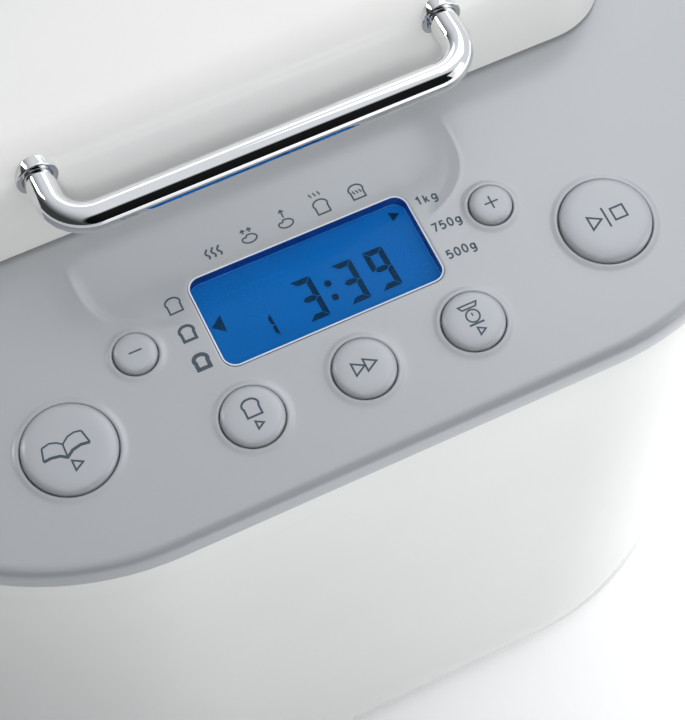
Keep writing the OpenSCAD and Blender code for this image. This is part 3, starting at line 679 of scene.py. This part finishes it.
def build_deck():
    points, heights, edges, holes = [], [], [], []

    def loop(ring, height):
        start, n = len(points), len(ring)
        points.extend(ring)
        heights.extend([height] * n)
        edges.extend((start + k, start + (k + 1) % n) for k in range(n))

    def hole(ring_at, steps):
        """The rings round a hole; its innermost and a wider one are kept for tests."""
        for d, h in steps:
            loop(ring_at(d), h)
        kept = []
        for ring in (ring_at(0), ring_at(steps[-1][0] + 1.1)):
            across, up = zip(*ring)
            kept.append((ring, min(across), max(across), min(up), max(up)))
        holes.append(kept)

    def inside_hole(x, y, wide):
        for kept in holes:
            ring, x0, x1, y0, y1 = kept[wide]
            if x0 < x < x1 and y0 < y < y1:
                crossed = sum((ay > y) != (by > y) and x < ax + (y - ay) * (bx - ax) / (by - ay)
                              for (ax, ay), (bx, by) in zip(ring, ring[1:] + ring[:1]))
                if crossed % 2:
                    return True
        return False

    def scatter(y1, step, wanted):
        x0, y0 = -BODY_W / 2, FRONT
        for i in range(int(BODY_W / step)):
            for j in range(int((y1 - y0) / step)):
                x, y = x0 + i * step, y0 + j * step
                if (inside_rim(x, y, PLATE + 4) and not inside_hole(x, y, 1)
                        and wanted(x, (y - PANEL_Y) / COS)):
                    points.append((x, y))
                    heights.append(0)

    def laid(ring):
        return [(x, PANEL_Y + y * COS) for x, y in ring]

    rim = casing(PLATE)
    loop(rim, 0)
    loop(casing(PLATE + 2.5), 0)
    for u, v, r in KEYS.values():
        hole(lambda d: laid(circle(u, v, r + d, 84)), KEY_RINGS)

    hole(lambda d: laid(display_edge(0.1 + d, LENS_R + d, 30)), EDGE_RINGS)
    hole(lambda d: round_box(OVEN[:2], OVEN_Y, OVEN[2] + d, d, 14, 40), EDGE_RINGS)
    scatter(REAR, 3.4, lambda x, v: not in_recess(x, v))
    scatter(LEVEL_Y + 10, 1.3, lambda x, v: in_recess(x, v) and not in_band(x, v))
    scatter(LEVEL_Y + 10, 0.62, in_band)
    flat, _, triangles, source = delaunay_2d_cdt([Vector(p) for p in points], edges, [], 0, 1e-5,
                                                 True)[:4]
    top, under = [], []
    for p, origin in zip(flat, source):
        h = heights[origin[0]] if origin else 0
        v = (p.y - PANEL_Y) / COS
        top.append((p.x, p.y, deck_height(p.y) + h - scoop(p.x, v)))
        under.append((p.x, p.y, deck_height(p.y) - WALL))
    rim_set = {i for i, origin in enumerate(source) if origin and origin[0] < len(rim)}
    count = len(flat)
    faces, used = [], {}
    for t in triangles:
        a, b, c = (flat[i] for i in t)
        centre = (a + b + c) / 3
        if inside_hole(centre.x, centre.y, 0) or abs((b - a).cross(c - a)) < 1e-7:
            continue
        faces += [tuple(t), tuple(i + count for i in reversed(t))]
        for pair in zip(t, (*t[1:], t[0])):
            used.setdefault(frozenset(pair), []).append(pair)
    for (a, b), *others in used.values():
        if not others and not (a in rim_set and b in rim_set):
            faces.append((b, a, a + count, b + count))
    r = 4.1
    profile = [(PLATE, 0)]
    profile += [(r * (1 - sin(a)), r * (1 - cos(a))) for a in map(radians, range(0, 91, 9))]
    profile += [(0, 5.2), (0, SKIRT - 0.25), (0.06, SKIRT - 0.08), (0.25, SKIRT),
                (WALL, SKIRT), (WALL, 4.6), (PLATE, WALL)]
    rings = []
    for inset, drop in profile:
        line = [rim_point(k, inset) for k in range(len(rim))]
        rings.append([(x, y, deck_height(y) - drop) for x, y in line])
    shape = merge((top + under, faces), loft(rings, caps=False))
    obj = piece("control_deck", shape, "base", "grey_deck", ["top_deck"], angle=40)

    def join(bm):
        bmesh.ops.remove_doubles(bm, verts=bm.verts, dist=4e-6)
        face_outwards(bm)
    reshape(obj.data, join)
    soften(obj, 40)


def at_hinge(*points):
    return [(HINGE_Y + y, HINGE_Z + z) for y, z in points]


def build_ears():
    """Two hinge ears on the deck behind the lid."""
    r, base_z = 6.5, DECK_Z - 1
    shape = [(HINGE_Y - r, base_z), *arc(HINGE_Y, HINGE_Z, r, 180, 0, 24), (HINGE_Y + r, base_z)]
    hole = towards(shape, HINGE_Y, HINGE_Z, BORE)
    small, less = (drawn_in(shape, (HINGE_Y, HINGE_Z), by) for by in (0.5, 0.15))
    parts = []
    for x0, x1 in ((-82, -70), (70, 82)):
        rows = [(x0, hole), (x0, small), (x0 + 0.15, less), (x0 + 0.5, shape), (x1 - 0.5, shape),
                (x1 - 0.15, less), (x1, small), (x1, hole)]
        parts.append(loft(sections(0, rows), wrap=True))
    piece("hinge_ears", merge(*parts), "base", "grey_deck")


# ---------- lid ----------
# The lid's section: (share of its height, front, side and rear inset).
LID_STOPS = [(0, 0, 0, 0), (0.08, 0.3, 0.2, 0.2), (0.30, 1, 0.5, 0.5), (0.51, 2, 1, 1),
             (0.65, 4.5, 2.5, 2.5), (0.75, 9, 5.5, 5), (0.83, 17, 10, 9), (0.91, 30, 18, 15),
             (0.96, 40, 26, 20.5), (1, 51, 34, 26)]


def lid_profile(n=5):
    """The lid's section smoothed through its stops, with n steps between two of them."""
    out = []
    last = len(LID_STOPS) - 1
    for i in range(last):
        p = [LID_STOPS[max(0, min(last, i + k))] for k in (-1, 0, 1, 2)]
        for s in range(n):
            t = s / n
            out.append(tuple(0.5 * (2 * b + (c - a) * t + (2 * a - 5 * b + 4 * c - d) * t * t
                                    + (3 * b - a - 3 * c + d) * t ** 3) for a, b, c, d in zip(*p)))
    out.append(LID_STOPS[-1])
    return out


def lid_ring(stop, inner=0, z=None, drop=0):
    h, f, s, r = stop
    rear = max(20, 44 - r - inner)
    ring = outline(LID_W - 2 * (s + inner), lid_low.y + f + inner, lid_high.y - r - inner, 26,
                   rear, 16, 24)
    return at(ring, (lid_low.z + h * LID_H - drop) if z is None else z)


def window_ring(grow, z, r):
    return at(round_box((GLASS_W, GLASS_D), GLASS_Y, r, grow, 16, 24), z)


def build_lid():
    z0, top = lid_low.z, lid_high.z
    stops = lid_profile()
    foot = stops[0]
    rings = [lid_ring(foot, inner, z0 + up) for inner, up in ((0.5, 0), (0.12, 0.15), (0, 0.5))]
    rings += [lid_ring(s) for s in stops[2:-1]]
    rings += [lid_ring(stops[-1], -0.6, top - 0.02), lid_ring(stops[-1], 1, top)]
    rings += [window_ring(grow, top - down, r) for grow, down, r in
              ((1.6, 0, 7.5), (0.5, 0, 6.5), (0.25, 0.15, 6.3), (0.2, 0.4, 6.2), (0.2, 3.2, 6.2),
               (-4, 3.2, 4), (-4, 5.4, 4), (3, 5.4, 8))]
    rings += [lid_ring(s, WALL, drop=WALL) for s in reversed(stops[4:-1:2])]
    rings += [lid_ring(foot, WALL + 0.2, z0)]
    obj = piece("lid_shell", loft(rings, wrap=True), "lid", "white_casing", ["lid_cover"])
    roll = [*at_hinge((0, -20), (30, -20), (30, 0)), *arc(HINGE_Y, HINGE_Z, 8, 0, -90, 12)]
    cut(obj, prism(roll, 0, -200, 200))
    for x in (-76, 76):
        notch = outline(13.5, HINGE_Z - 20, HINGE_Z + 16, 2, 2, 5, 4, cx=x)
        cut(obj, prism(notch, 1, HINGE_Y - 9, HINGE_Y + 30))
    bosses = []
    web = at_hinge((2, 4), (2, 5.8), (6.4, 5.8), (6.4, -3), (4.6, -3.4))
    for x0, x1 in ((-69.5, -58), (-94, -82.5), (58, 69.5), (82.5, 94)):
        profile = rounded([(2.5, x0, 0), (6, x0, 0.5), (6, x1, 0.5), (2.5, x1, 0)], 3)
        bosses.append(lathe(profile, 40, lambda x, y, z: (z, HINGE_Y + y, HINGE_Z + x)))
        bosses.append(prism(web, 0, x0 + 0.4, x1 - 0.4))
    piece("hinge_bosses", merge(*bosses), "lid", "white_casing")
    glass = [window_ring(-inset, top - down, 6 - inset) for inset, down in
             ((0.4, 2.4), (0, 2.1), (0, 0.45), (0.12, 0.25), (0.5, 0.12))]
    piece("window_glass", loft(glass), "lid", "clear_glass", ["lid_window"])
    low, high = box_mm("inner_window")
    size = (high.x - low.x, high.y - low.y)
    pane = [at(round_box(size, GLASS_Y, 8 - inset, -inset, 8, 10), z) for inset, z in
            ((0.3, low.z), (0, low.z + 0.3), (0, high.z - 0.3), (0.3, high.z))]
    piece("inner_glass", loft(pane), "lid", "clear_glass", ["inner_window"])


def build_liner():
    low, high = box_mm("lid_liner")
    w, z0, top = high.x - low.x, low.z, high.z

    def flange(inset, z):
        r = 28 - inset
        return at(outline(w - 2 * inset, low.y + inset, high.y - inset, r, r, 10, 16), z)

    def dome(stops, r):
        return [at(round_box(DOME, OVEN_Y, max(6, r + grow), grow), z)
                for grow, z in rounded(stops, 7)]

    def opening(z):
        return at(round_box((GLASS_W - 22, GLASS_D - 22), GLASS_Y, 6), z)
    rings = [flange(0, z0 + 0.2), flange(0, z0 + 0.8), flange(0.2, z0 + 1)]
    rings += dome([(12, z0 + 1, 0), (1, z0 + 1, 1.5), (1, top, 7), (-16, top, 0)], 20)
    rings += [opening(top), opening(top - 1)]
    rings += dome([(-17, top - 1, 0), (0, top - 1, 6), (0, z0, 2), (13, z0, 0)], 19)
    rings += [flange(0.2, z0)]
    piece("dome_liner", loft(rings, wrap=True), "lid", "aluminium_sheet", ["lid_liner"])


def build_handle():
    low, high = box_mm("lid_handle")
    r = (high.z - low.z) / 2
    x, y0, y1, z = high.x - r, low.y + r, high.y, (low.z + high.z) / 2
    path = bent_path([(-x, y1, z), (-x, y0, z), (x, y0, z), (x, y1, z)], 12, 18)
    piece("handle_bar", tube(path, r, 40), "lid", "chrome_trim", ["lid_handle"])
    face = lid_low.y + 2.6
    profile = rounded([(r + 0.02, -3, 0), (r + 2, -3, 0), (r + 2, 0.8, 0.6), (r + 0.25, 0.8, 0.3),
                       (r + 0.02, 0.4, 0)], 4)
    collars = [lathe(profile, 56, lambda px, py, pz: (side + px, face - pz, z + py))
               for side in (-x, x)]
    piece("handle_collars", merge(*collars), "lid", "chrome_trim")


# ---------- keys and print ----------
def key_height(rho, r):
    """Height of a key's top over the panel at a distance from its centre."""
    rise = 1.6 + 0.07 * (r + KEY_GAP)
    x = min(0.9999, rho / r)
    return -0.3 + (rise + 0.8) * (1 - x ** 4.6) ** (1 / 4.6)


def build_key(name):
    u, v, hole = KEYS[name]
    r = hole - KEY_GAP
    flange = hole + KEY_FLANGE
    steps = [1 - (1 - k / 22) ** 2.1 for k in range(23)]
    profile = [(0, -5.2), (2, -5.2), (2, -4.5), (flange, -4.5), (flange, -2.9), (r, -2.9),
               (r, -1.2)]
    profile += [(r * s, key_height(r * s, r)) for s in reversed(steps)]
    shape = lathe(profile, 96, lambda x, y, z: on_panel(u + x, v + y, z))
    piece("key_" + name, shape, "key_" + name, "key_grey", ["button_" + name])

    def place(x, y, h):
        return on_panel(u + x, v + y, key_height(hypot(x, y), r) - SUNK + h)
    piece("mark_" + name, printed(KEY_MARKS[name], place), "key_" + name, "key_grey",
          material="print")


def stroke(path, width=0.55, closed=False, step=0.8):
    """A flat printed line: rows of (left, right) points along a path."""
    if closed:
        path = list(path) + [path[0]]
    dense = []
    for a, b in zip(path, path[1:]):
        a, b = Vector(a), Vector(b)
        n = max(1, ceil((b - a).length / step))
        dense += [a + (b - a) * k / n for k in range(n)]
    if not closed:
        dense.append(Vector(path[-1]))
    first, last = (dense[-1], dense[0]) if closed else (dense[0], dense[-1])
    rows = []
    for before, p, after in zip([first] + dense, dense, dense[1:] + [last]):
        d1 = (p - before if (p - before).length > 1e-6 else after - p).normalized()
        d2 = (after - p).normalized() if (after - p).length > 1e-6 else d1
        normal = (d1 + d2).orthogonal()
        normal = normal.normalized() if normal.length > 1e-6 else d1.orthogonal()
        half = normal * width / 2 * (1 / max(0.5, normal.dot(d1.orthogonal())))
        rows.append((p + half, p - half))
    return rows, closed


SUNK = 0.02  # how far the print sits in the surface under it


def printed(marks, place, thick=0.06):
    """Thin solids for flat marks: each is (rows, closed) from stroke, or an outline."""
    parts = []
    for mark in marks:
        if isinstance(mark, tuple):
            rows, closed = mark
            rings = [[place(l.x, l.y, 0), place(r.x, r.y, 0), place(r.x, r.y, thick),
                      place(l.x, l.y, thick)] for l, r in rows]
            parts.append(loft(rings, wrap=closed))
        else:
            parts.append(loft([[place(x, y, h) for x, y in mark] for h in (0, thick)]))
    return merge(*parts)


def triangle(cx, cy, size, width=0.55):
    back = cx - size * 0.33
    return stroke([(back, cy + size / 2), (cx + size * 0.53, cy), (back, cy - size / 2)], width,
                  True)


def move(points, dx, dy, k=1):
    return [(x * k + dx, y * k + dy) for x, y in points]


def loaf(cx, cy, k=1, width=0.56):
    """A slice of bread in outline."""
    left = [(-2.1, -2.6), (-2.1, 0.1), (-2.35, 0.45)]
    left += [(-2.4 * cos(a), 0.75 + 1.85 * sin(a)) for a in (radians(8 + 10 * i) for i in range(8))]
    right = [(-x, y) for x, y in reversed(left)]
    return stroke(move(left + right, cx, cy, k), width, True, 0.5)


def dough(cx, cy):
    """A lump of dough: an oval with a dent at its upper left."""
    lump = []
    for k in range(30):
        a = 2 * pi * k / 30
        dent = 0.42 * exp(-((a - 2.2) / 0.28) ** 2)
        lump.append((cx + 2.4 * (1 - dent) * cos(a), cy + 1.5 * (1 - dent) * sin(a)))
    return stroke(lump, 0.53, True, 0.6)


def wavy(cx, cy, h, width=0.65, sway=0.45, turns=1.25):
    return stroke([(cx + sway * sin(turns * 2 * pi * t / 12), cy + h * (t / 12 - 0.5))
                   for t in range(13)], width)


def arrow(cx, cy, h, w=0.85):
    return [stroke([(cx, cy), (cx, cy + h - 0.3)], 0.5),
            stroke([(cx - w, cy + h - w), (cx, cy + h), (cx + w, cy + h - w)], 0.5)]


KEY_MARKS = {
    "menu": [
        stroke([(-8.6, -1.6), (-6.2, -1.4), (-3.4, -1.9), (-1.6, -3.2), (0.6, -1.6), (3.4, -1),
                (6.2, -1.4)], 0.95),
        stroke([(-8.6, -1.6), (-7.6, 2.6)], 0.6),
        stroke([(-7.6, 2.6), (-5, 3.2), (-2.9, 2.5), (-1.4, 1.3)]),
        stroke([(-1.4, 1.3), (-1.6, -3.2)]),
        stroke([(-1.4, 1.3), (0.8, 3), (3, 3.5), (5.2, 3.1)]),
        stroke([(5.2, 3.1), (6.2, -1.4)], 0.6), triangle(0.2, -6.3, 3.4, 0.6)],
    "minus": [stroke([(-2.1, 0), (2.1, 0)])],
    "plus": [stroke([(-2.3, 0), (2.3, 0)]), stroke([(0, -2.3), (0, 2.3)])],
    "crust": [loaf(0.4, 2, 1.12, 0.68), triangle(0.5, -3.9, 2.6, 0.6)],
    "rapid": [triangle(-2.3, 0, 4.3, 0.6), triangle(1.6, 0, 4.3, 0.6)],
    "size": [
        stroke([(-3.1, 5.1), (3.1, 5.1), (2.3, 3.7), (-2.3, 3.7)], 0.55, True),
        stroke(circle(0, 0.9, 2.15, 24), 0.55, True),
        stroke([(0, 0.9), (0, 2)], 0.45), stroke([(-2.5, -1.9), (2.5, -1.9)], 0.65),
        triangle(0.3, -4.5, 2.6)],
    "start_stop": [
        triangle(-4.3, 0, 4.7, 0.65), stroke([(-0.2, -3.6), (-0.2, 3.6)], 0.65),
        stroke([(2.2, -2.1), (6.4, -2.1), (6.4, 2.1), (2.2, 2.1)], 0.65, True)],
}
GLYPHS = {
    "1": [[(0.35, 2.2), (1.15, 2.75), (1.15, 0)]],
    "7": [[(0.15, 2.75), (1.7, 2.75), (0.75, 0)]],
    "5": [[(1.6, 2.75), (0.45, 2.75), (0.3, 1.55), (0.75, 1.75), (1.2, 1.7), (1.65, 1.3),
           (1.65, 0.55), (1.25, 0.08), (0.65, 0.02), (0.2, 0.4)]],
    "0": [circle(0.95, 1.375, 0.75, 20, 1.375, 21)],
    "k": [[(0.3, 2.75), (0.3, 0)], [(1.45, 1.85), (0.45, 0.85)], [(0.75, 1.1), (1.55, 0)]],
    "g": [circle(0.95, 1, 0.7, 16, 0.85, 17),
          [(1.65, 1.9), (1.65, -0.3), (1.3, -0.85), (0.7, -0.95), (0.3, -0.7)]],
}


def label(text, u, v):
    """A plain weight label, drawn in strokes."""
    return [stroke(move(path, u + 2.62 * i, v), 0.58, False, 0.4)
            for i, c in enumerate(text) for path in GLYPHS[c]]


def build_panel_marks():
    y = 21.75
    marks = [wavy(x, 22.1, 3.7) for x in (-26.9, -24.9, -22.9)]
    marks += [dough(-12.6, y), *arrow(-13.8, 23.9, 1.5, 0.75), *arrow(-11.6, 23.9, 1.5, 0.75)]
    marks += [dough(-0.1, y), *arrow(0.05, 24, 2.8)]
    marks += [loaf(12.5, 22.6), loaf(24.8, 22.7)]
    marks += [wavy(12.2 + d, 27.4, 1.4, 0.45, 0.2, 1) for d in (-1.5, 0, 1.5)]
    marks += [wavy(24.8 + d, 22.6, 1.3, 0.42, 0.2, 1) for d in (-1.1, 0, 1.1)]
    for v, width in ((10.55, 0.6), (0.05, 0.95), (-10.45, 1.3)):
        marks.append(loaf(-43.4, v, 1 - (width - 0.6) * 0.12, width))
    labels = label("1kg", 39.9, 9.8) + label("750g", 40.3, -0.9) + label("500g", 40.2, -11.2)
    for name, strokes in (("panel_marks", marks), ("weight_labels", labels)):
        shape = printed(strokes, lambda x, y, h: on_panel(x, y, h - SUNK - scoop(x, y)))
        piece(name, shape, "base", "grey_deck", material="print")


# ---------- display ----------
DIGITS = {"1": "bc", "3": "abcdg", "9": "abcdfg"}


def digit(char, u, v, w, h, t, lean=-0.03, gap=0.14):
    """A seven-segment digit of stroke t. Its mitred strokes fill a box from (u, v)."""
    side = [(w, h - gap), (w, h / 2 + gap), (w - t / 2, h / 2 + gap),
            (w - t, h / 2 + t / 2 + gap), (w - t, h - t - gap)]
    top = [(gap, h), (w - gap, h), (w - gap - t, h - t), (gap + t, h - t)]
    x0, x1, y0 = gap + t / 2, w - gap - t / 2, h / 2
    bar = [(x0, y0), (gap + t, y0 + t / 2), (w - gap - t, y0 + t / 2), (x1, y0),
           (w - gap - t, y0 - t / 2), (gap + t, y0 - t / 2)]

    def flip(points, across, down):
        return [((w - x) if across else x, (h - y) if down else y) for x, y in points]
    strokes = {"a": top, "d": flip(top, False, True), "b": side, "c": flip(side, False, True),
               "f": flip(side, True, False), "g": bar}
    return [[(u + x + y * lean, v + y) for x, y in strokes[c]] for c in DIGITS[char]]


def display_rings(*profile):
    """Rounded rings of the display window, each at an inset and a height over the panel."""
    return [[on_panel(x, y, w) for x, y in display_edge(-inset, max(0.6, LENS_R - inset), 16)]
            for inset, w in profile]


def build_display():
    pane = display_rings((0.3, -0.9), (0.02, -0.75), (0.02, -0.3), (0.1, -0.16), (0.3, -0.1))
    piece("display_window", loft(pane), "base", "display_blue", ["display_lens"])
    # A thin raised ring round the window, real in shape; its pale colour is a painted highlight along the window's
    # edge.
    highlight_trim_rings = display_rings((0, -0.25), (-0.08, -0.2), (-0.08, 0.04), (0.02, 0.1), (0.3, 0.06),
                         (0.42, -0.02), (0.42, -0.09), (0.3, -0.09), (0.1, -0.15))
    wall = display_rings((0.02, -4.9), (0.02, -0.95), (0.45, -0.95), (0.5, -1.1), (0.55, -4.6),
                         (0.6, -4.9))
    lip = display_rings((0.6, -4.99), (0.6, -4.72), (0.85, -4.72), (0.95, -4.8), (0.95, -4.99))
    for name, rings, slot, material in (("display_highlight_trim", highlight_trim_rings, "grey_deck", "pale_highlight_trim"),
                                        ("display_recess", wall, "lcd_blue", "display_frame"),
                                        ("display_lip", lip, "lcd_blue", "display_lip")):
        piece(name, loft(rings, wrap=True), "base", slot, material=material)
    bed = -5
    glass = [[on_panel(x, y, z) for x, y in
              outline(2 * (40 - i), -19 + i, 19 - i, 1 - i, 1 - i, 3, 10)]
             for i, z in ((0, bed - 1.9), (0, bed - 0.2), (0.2, bed))]
    piece("lcd_screen", loft(glass), "base", "lcd_blue", ["lcd_panel"])
    marks = []
    for char, u in (("3", -6.7), ("3", 7.3), ("9", 18)):
        marks += digit(char, u, -10.3, 6.7, 14.5, 1.9)
    marks += digit("1", -20.6, -10.2, 3.8, 7.9, 1.2)
    marks += [circle(3.6, -0.6, 1.15, 20), circle(3.7, -5.7, 1.15, 20)]
    marks.append([(-35, 0.6), (-31, 3.7), (-31.2, -2.4)])
    marks.append([(34.6, 12.1), (31.3, 13.6), (31.7, 10.2)])
    shape = printed(marks, lambda x, y, h: on_panel(x, y, bed - SUNK + h), 0.08)
    piece("lcd_figures", shape, "base", "lcd_blue", material="segment")


# ---------- oven and pan ----------
def tub(name, size, n, hole, profile, *look):
    """A sheet-metal tub with a round hole in its floor, which is (radius, outside z, inside z).
    The profile's points are (growth over size, z), and each corner has n steps."""
    plain = round_box((60, 60), OVEN_Y, 20, 0, n, 18)
    rings = [at(round_box(size, OVEN_Y, max(3, size[2] + grow), grow, n, 18), z)
             for grow, z in profile]
    floor = [at(towards(plain, 0, OVEN_Y, hole[0]), z) for z in hole[1:]]
    return piece(name, loft([floor[0], *rings, floor[1]], wrap=True), *look)


def build_chamber():
    z0, z1 = oven_low.z, oven_high.z
    outer = rounded([(-40, z0, 0), (1, z0, 6), (1, z1 - 1, 2), (8.8, z1 - 1, 0)])
    rim = [(9, z1 - 0.7), (9, z1 - 0.2)]
    inner = rounded([(9, z1, 0), (0, z1, 1.6), (0, z0 + 1, 5), (-40, z0 + 1, 0)])
    obj = tub("oven_tub", OVEN, 10, (7, z0, z0 + 1), outer + rim + inner, "base",
              "aluminium_sheet", ["oven_chamber"])
    low, high = box_mm("heating_element")
    ez = (low.z + high.z) / 2
    for x in (-20, 20):
        cut(obj, prism(circle(x, ez, 3.9, 24), 1, oven_low.y - 2, oven_low.y + 14))
    r = 3.25
    x, y0, y1 = high.x - r, OVEN_Y - 66, OVEN_Y + 66
    corners = [(20, low.y, ez), (20, y0, ez), (x, y0, ez), (x, y1, ez)]
    corners += [(-cx, cy, cz) for cx, cy, cz in reversed(corners)]
    path = [Vector(corners[0])]
    for i in range(1, len(corners) - 1):
        path += bent_path(corners[i - 1:i + 2], 8 if i in (1, 6) else 22, 12)[1:-1]
    path.append(Vector(corners[-1]))
    piece("oven_element", tube(path, r, 24, 0.6), "base", "element_steel", ["heating_element"])


def build_pan():
    z0 = box_mm("bread_pan")[0].z
    top = z0 + 119
    outer = rounded([(-30, z0, 0), (0, z0, 7), (0, top - 62, 0), (0, top - 58, 0),
                     (0, top - 1.5, 1.2), (2.6, top - 1.5, 0)])
    rim = [(2.9, top - 1.2), (3, top - 0.75), (2.9, top - 0.25), (2.6, top)]
    inner = rounded([(0.2, top, 0), (-1.5, top, 1.6), (-1.5, z0 + 1.5, 6), (-30, z0 + 1.5, 0)], 7)
    tub("pan_tub", PAN, 12, (12, z0, z0 + 1.5), outer + rim + inner, "pan", "non_stick",
        ["bread_pan"])
    pivot = top + 4
    edge = [(-9, pivot - 12), (-9, pivot - 1), *arc(0, pivot, 7, 172, 8, 14), (9, pivot - 1),
            (9, pivot - 12)]
    shape = [(OVEN_Y + y, z) for y, z in edge]
    hole = towards(shape, OVEN_Y, pivot, BORE)
    ears = [loft(sections(0, [(x0, hole), (x0, shape), (x1, shape), (x1, hole)]), wrap=True)
            for x0, x1 in ((-91, -89), (89, 91))]
    piece("pan_ears", merge(*ears), "pan", "non_stick")
    low, high = box_mm("pan_handle")
    r = 2.5
    x, y = high.x - r, low.y + r
    path = bent_path([(-86.5, OVEN_Y, pivot), (-x, OVEN_Y, pivot), (-x, y, pivot), (x, y, pivot),
                      (x, OVEN_Y, pivot), (86.5, OVEN_Y, pivot)], 4.5, 8)
    piece("pan_bail", tube(path, r, 24, 0.5), "bail", "chrome_trim", ["pan_handle"])


def build_paddle():
    low, high = box_mm("kneading_blade")
    z0, hub_low, hub_top = low.z, low.z + 2, high.z
    profile = [(4.2, hub_low), (8.4, hub_low), (9, hub_low + 0.6), (9, hub_low + 7),
               (7.6, hub_top - 4), (6.6, hub_top - 1.4), (5.2, hub_top - 0.3), (3, hub_top),
               (0.02, hub_top), (0.02, hub_top - 1.5), (4.2, hub_top - 1.5)]
    hub = lathe(profile, 64, lambda x, y, z: (x, OVEN_Y + y, z))
    edge = [(4, hub_low + 0.6), (26, hub_low - 0.6), (39, z0 + 0.2), (42, z0 + 1.6),
            (42.8, z0 + 4), (41.6, z0 + 11), (39.4, z0 + 15.5), (36, z0 + 17.6), (30, z0 + 18.9),
            (22, z0 + 20), (12, z0 + 21.6), (4, z0 + 22.6)]
    rows = [(OVEN_Y + y, drawn_in(edge, (22, z0 + 10), by)) for y, by in
            ((-2.5, 1.2), (-2, 0.4), (-1.2, 0), (1.2, 0), (2, 0.4), (2.5, 1.2))]
    piece("paddle", merge(hub, loft(sections(1, rows))), "blade", "non_stick", ["kneading_blade"])


def build_feet():
    profile = [(0, 0.7), (4.5, 0.7), (5.5, 0), (8.2, 0), (8.8, 0.5), (9, 1.2), (8.7, 5), (3, 5),
               (3, 8), (0, 8)]
    parts = [lathe(profile, 56, lambda x, y, z: (side + x, end + y, z))
             for side in (-112, 112) for end in (-88, 88)]
    piece("feet", merge(*parts), "base", "rubber", ["rubber_feet"])


def build_gland():
    low, high = box_mm("cord_gland")
    middle, y0, y1 = (low + high) / 2, low.y, high.y
    profile = [(3.6, y0), (5.4, y0), (6, y0 + 0.6), (6, y1 - 3.4), (9, y1 - 3.4), (9, y1 - 0.9),
               (8.7, y1 - 0.3), (8.2, y1), (6.6, y1), (6.2, y1 - 0.5), (5, y1 - 0.5),
               (4.6, y1), (3.8, y1), (3.6, y1 - 0.3)]
    shape = lathe(profile, 64, lambda a, b, c: (middle.x + a, c, middle.z + b))
    piece("gland", shape, "base", "black_plastic", ["cord_gland"])


for build in (build_casing, build_deck, build_ears, build_lid, build_liner, build_handle):
    build()
for key in KEYS:
    build_key(key)
for build in (build_panel_marks, build_display, build_chamber, build_pan, build_paddle,
              build_feet, build_gland):
    build()

# ---------- floor and lights ----------
floor = new_object("floor", [(-6000, -6000, 0), (6000, -6000, 0), (6000, 6000, 0),
                             (-6000, 6000, 0)], [(0, 1, 2, 3)])
# The floor glows as painted light, more towards +x: it lights the machine from below, its right side more than its
# left, and keeps the backdrop white.
glowing_paper = new_material((0.93, 0.93, 0.93), 0.7)
glowing_paper.name = "glowing_paper"
tree = glowing_paper.node_tree
grain = texture(glowing_paper, 300, 3)
across = node(tree, "SeparateXYZ", {0: node(tree, "TexCoord", {}).outputs["Object"]}).outputs["X"]
# Painted light: the floor's glow rises from left to right across x.
glow = map_range(tree, across, (-0.12, 0.25, 0.03, 0.66))
colour = ramp(glowing_paper, grain, (0.3, (0.92, 0.92, 0.92)), (0.7, (0.94, 0.94, 0.94)))
feed_shader(glowing_paper, {"Base Color": colour, "Emission Color": (1, 1, 1, 1),
                    "Emission Strength": glow})
floor.data.materials.append(glowing_paper)

world = bpy.data.worlds.new("studio")
world.use_nodes = True
sky = world.node_tree


def facing(direction, limits):
    """A value over the sky that changes as the view turns towards a direction."""
    where = node(sky, "TexCoord", {}).outputs["Generated"]
    dot = node(sky, "VectorMath", {0: where, 1: Vector(direction).normalized()},
               operation="DOT_PRODUCT")
    return map_range(sky, dot.outputs["Value"], limits, interpolation_type="SMOOTHSTEP")


def combine(operation, a, b):
    return node(sky, "Math", {0: a, 1: b}, operation=operation).outputs["Value"]


# A dark wall that shows in reflections only, and a sky that is bright on the machine's right.
in_mirrors = node(sky, "LightPath", {}).outputs["Is Glossy Ray"]
wall = combine("MULTIPLY", facing((0.15, -0.85, 0.42), (0.74, 0.86, 0, 0.99)), in_mirrors)
open_sky = combine("SUBTRACT", 1, wall)
glow = combine("MULTIPLY", open_sky, facing((0.8, 0, 0.5), (-0.42, 0.6, 0.05, 0.8)))
feed(sky, sky.nodes["Background"], {"Color": (0.93, 0.96, 1, 1), "Strength": glow})
scene.world = world


# name, place, target, size, power, spread in degrees, whether it shows in reflections
LIGHTS = (
    ("key_light", (1.3, -1, 0.8), (0, 0, 0.15), (1, 1), 2.6, 180, True),
    ("top_light", (0.42, 0.12, 0.85), (0.05, -0.02, 0.27), (0.5, 0.5), 0.6, 180, True),
    ("back_light", (0.6, 1.3, 1.3), (0, 0, 0.25), (1.4, 0.6), 2, 180, True),
    ("strip_light", (-1, 0.9, 1.1), (0, 0, 0.25), (0.15, 0.9), 3, 180, True),
    ("lid_light", (-0.15, -0.62, 0.9), (0.03, -0.02, 0.285), (0.4, 0.3), 0.17, 28, False))
for name, place, target, size, power, angle, reflected in LIGHTS:
    light = bpy.data.lights.new(name, "AREA")
    light.shape = "RECTANGLE"
    light.size, light.size_y = size
    light.energy, light.spread = power, radians(angle)
    obj = add_object(name, light)
    obj.location = place
    obj.rotation_euler = (Vector(target) - Vector(place)).to_track_quat("-Z", "Y").to_euler()
    obj.visible_glossy = reflected
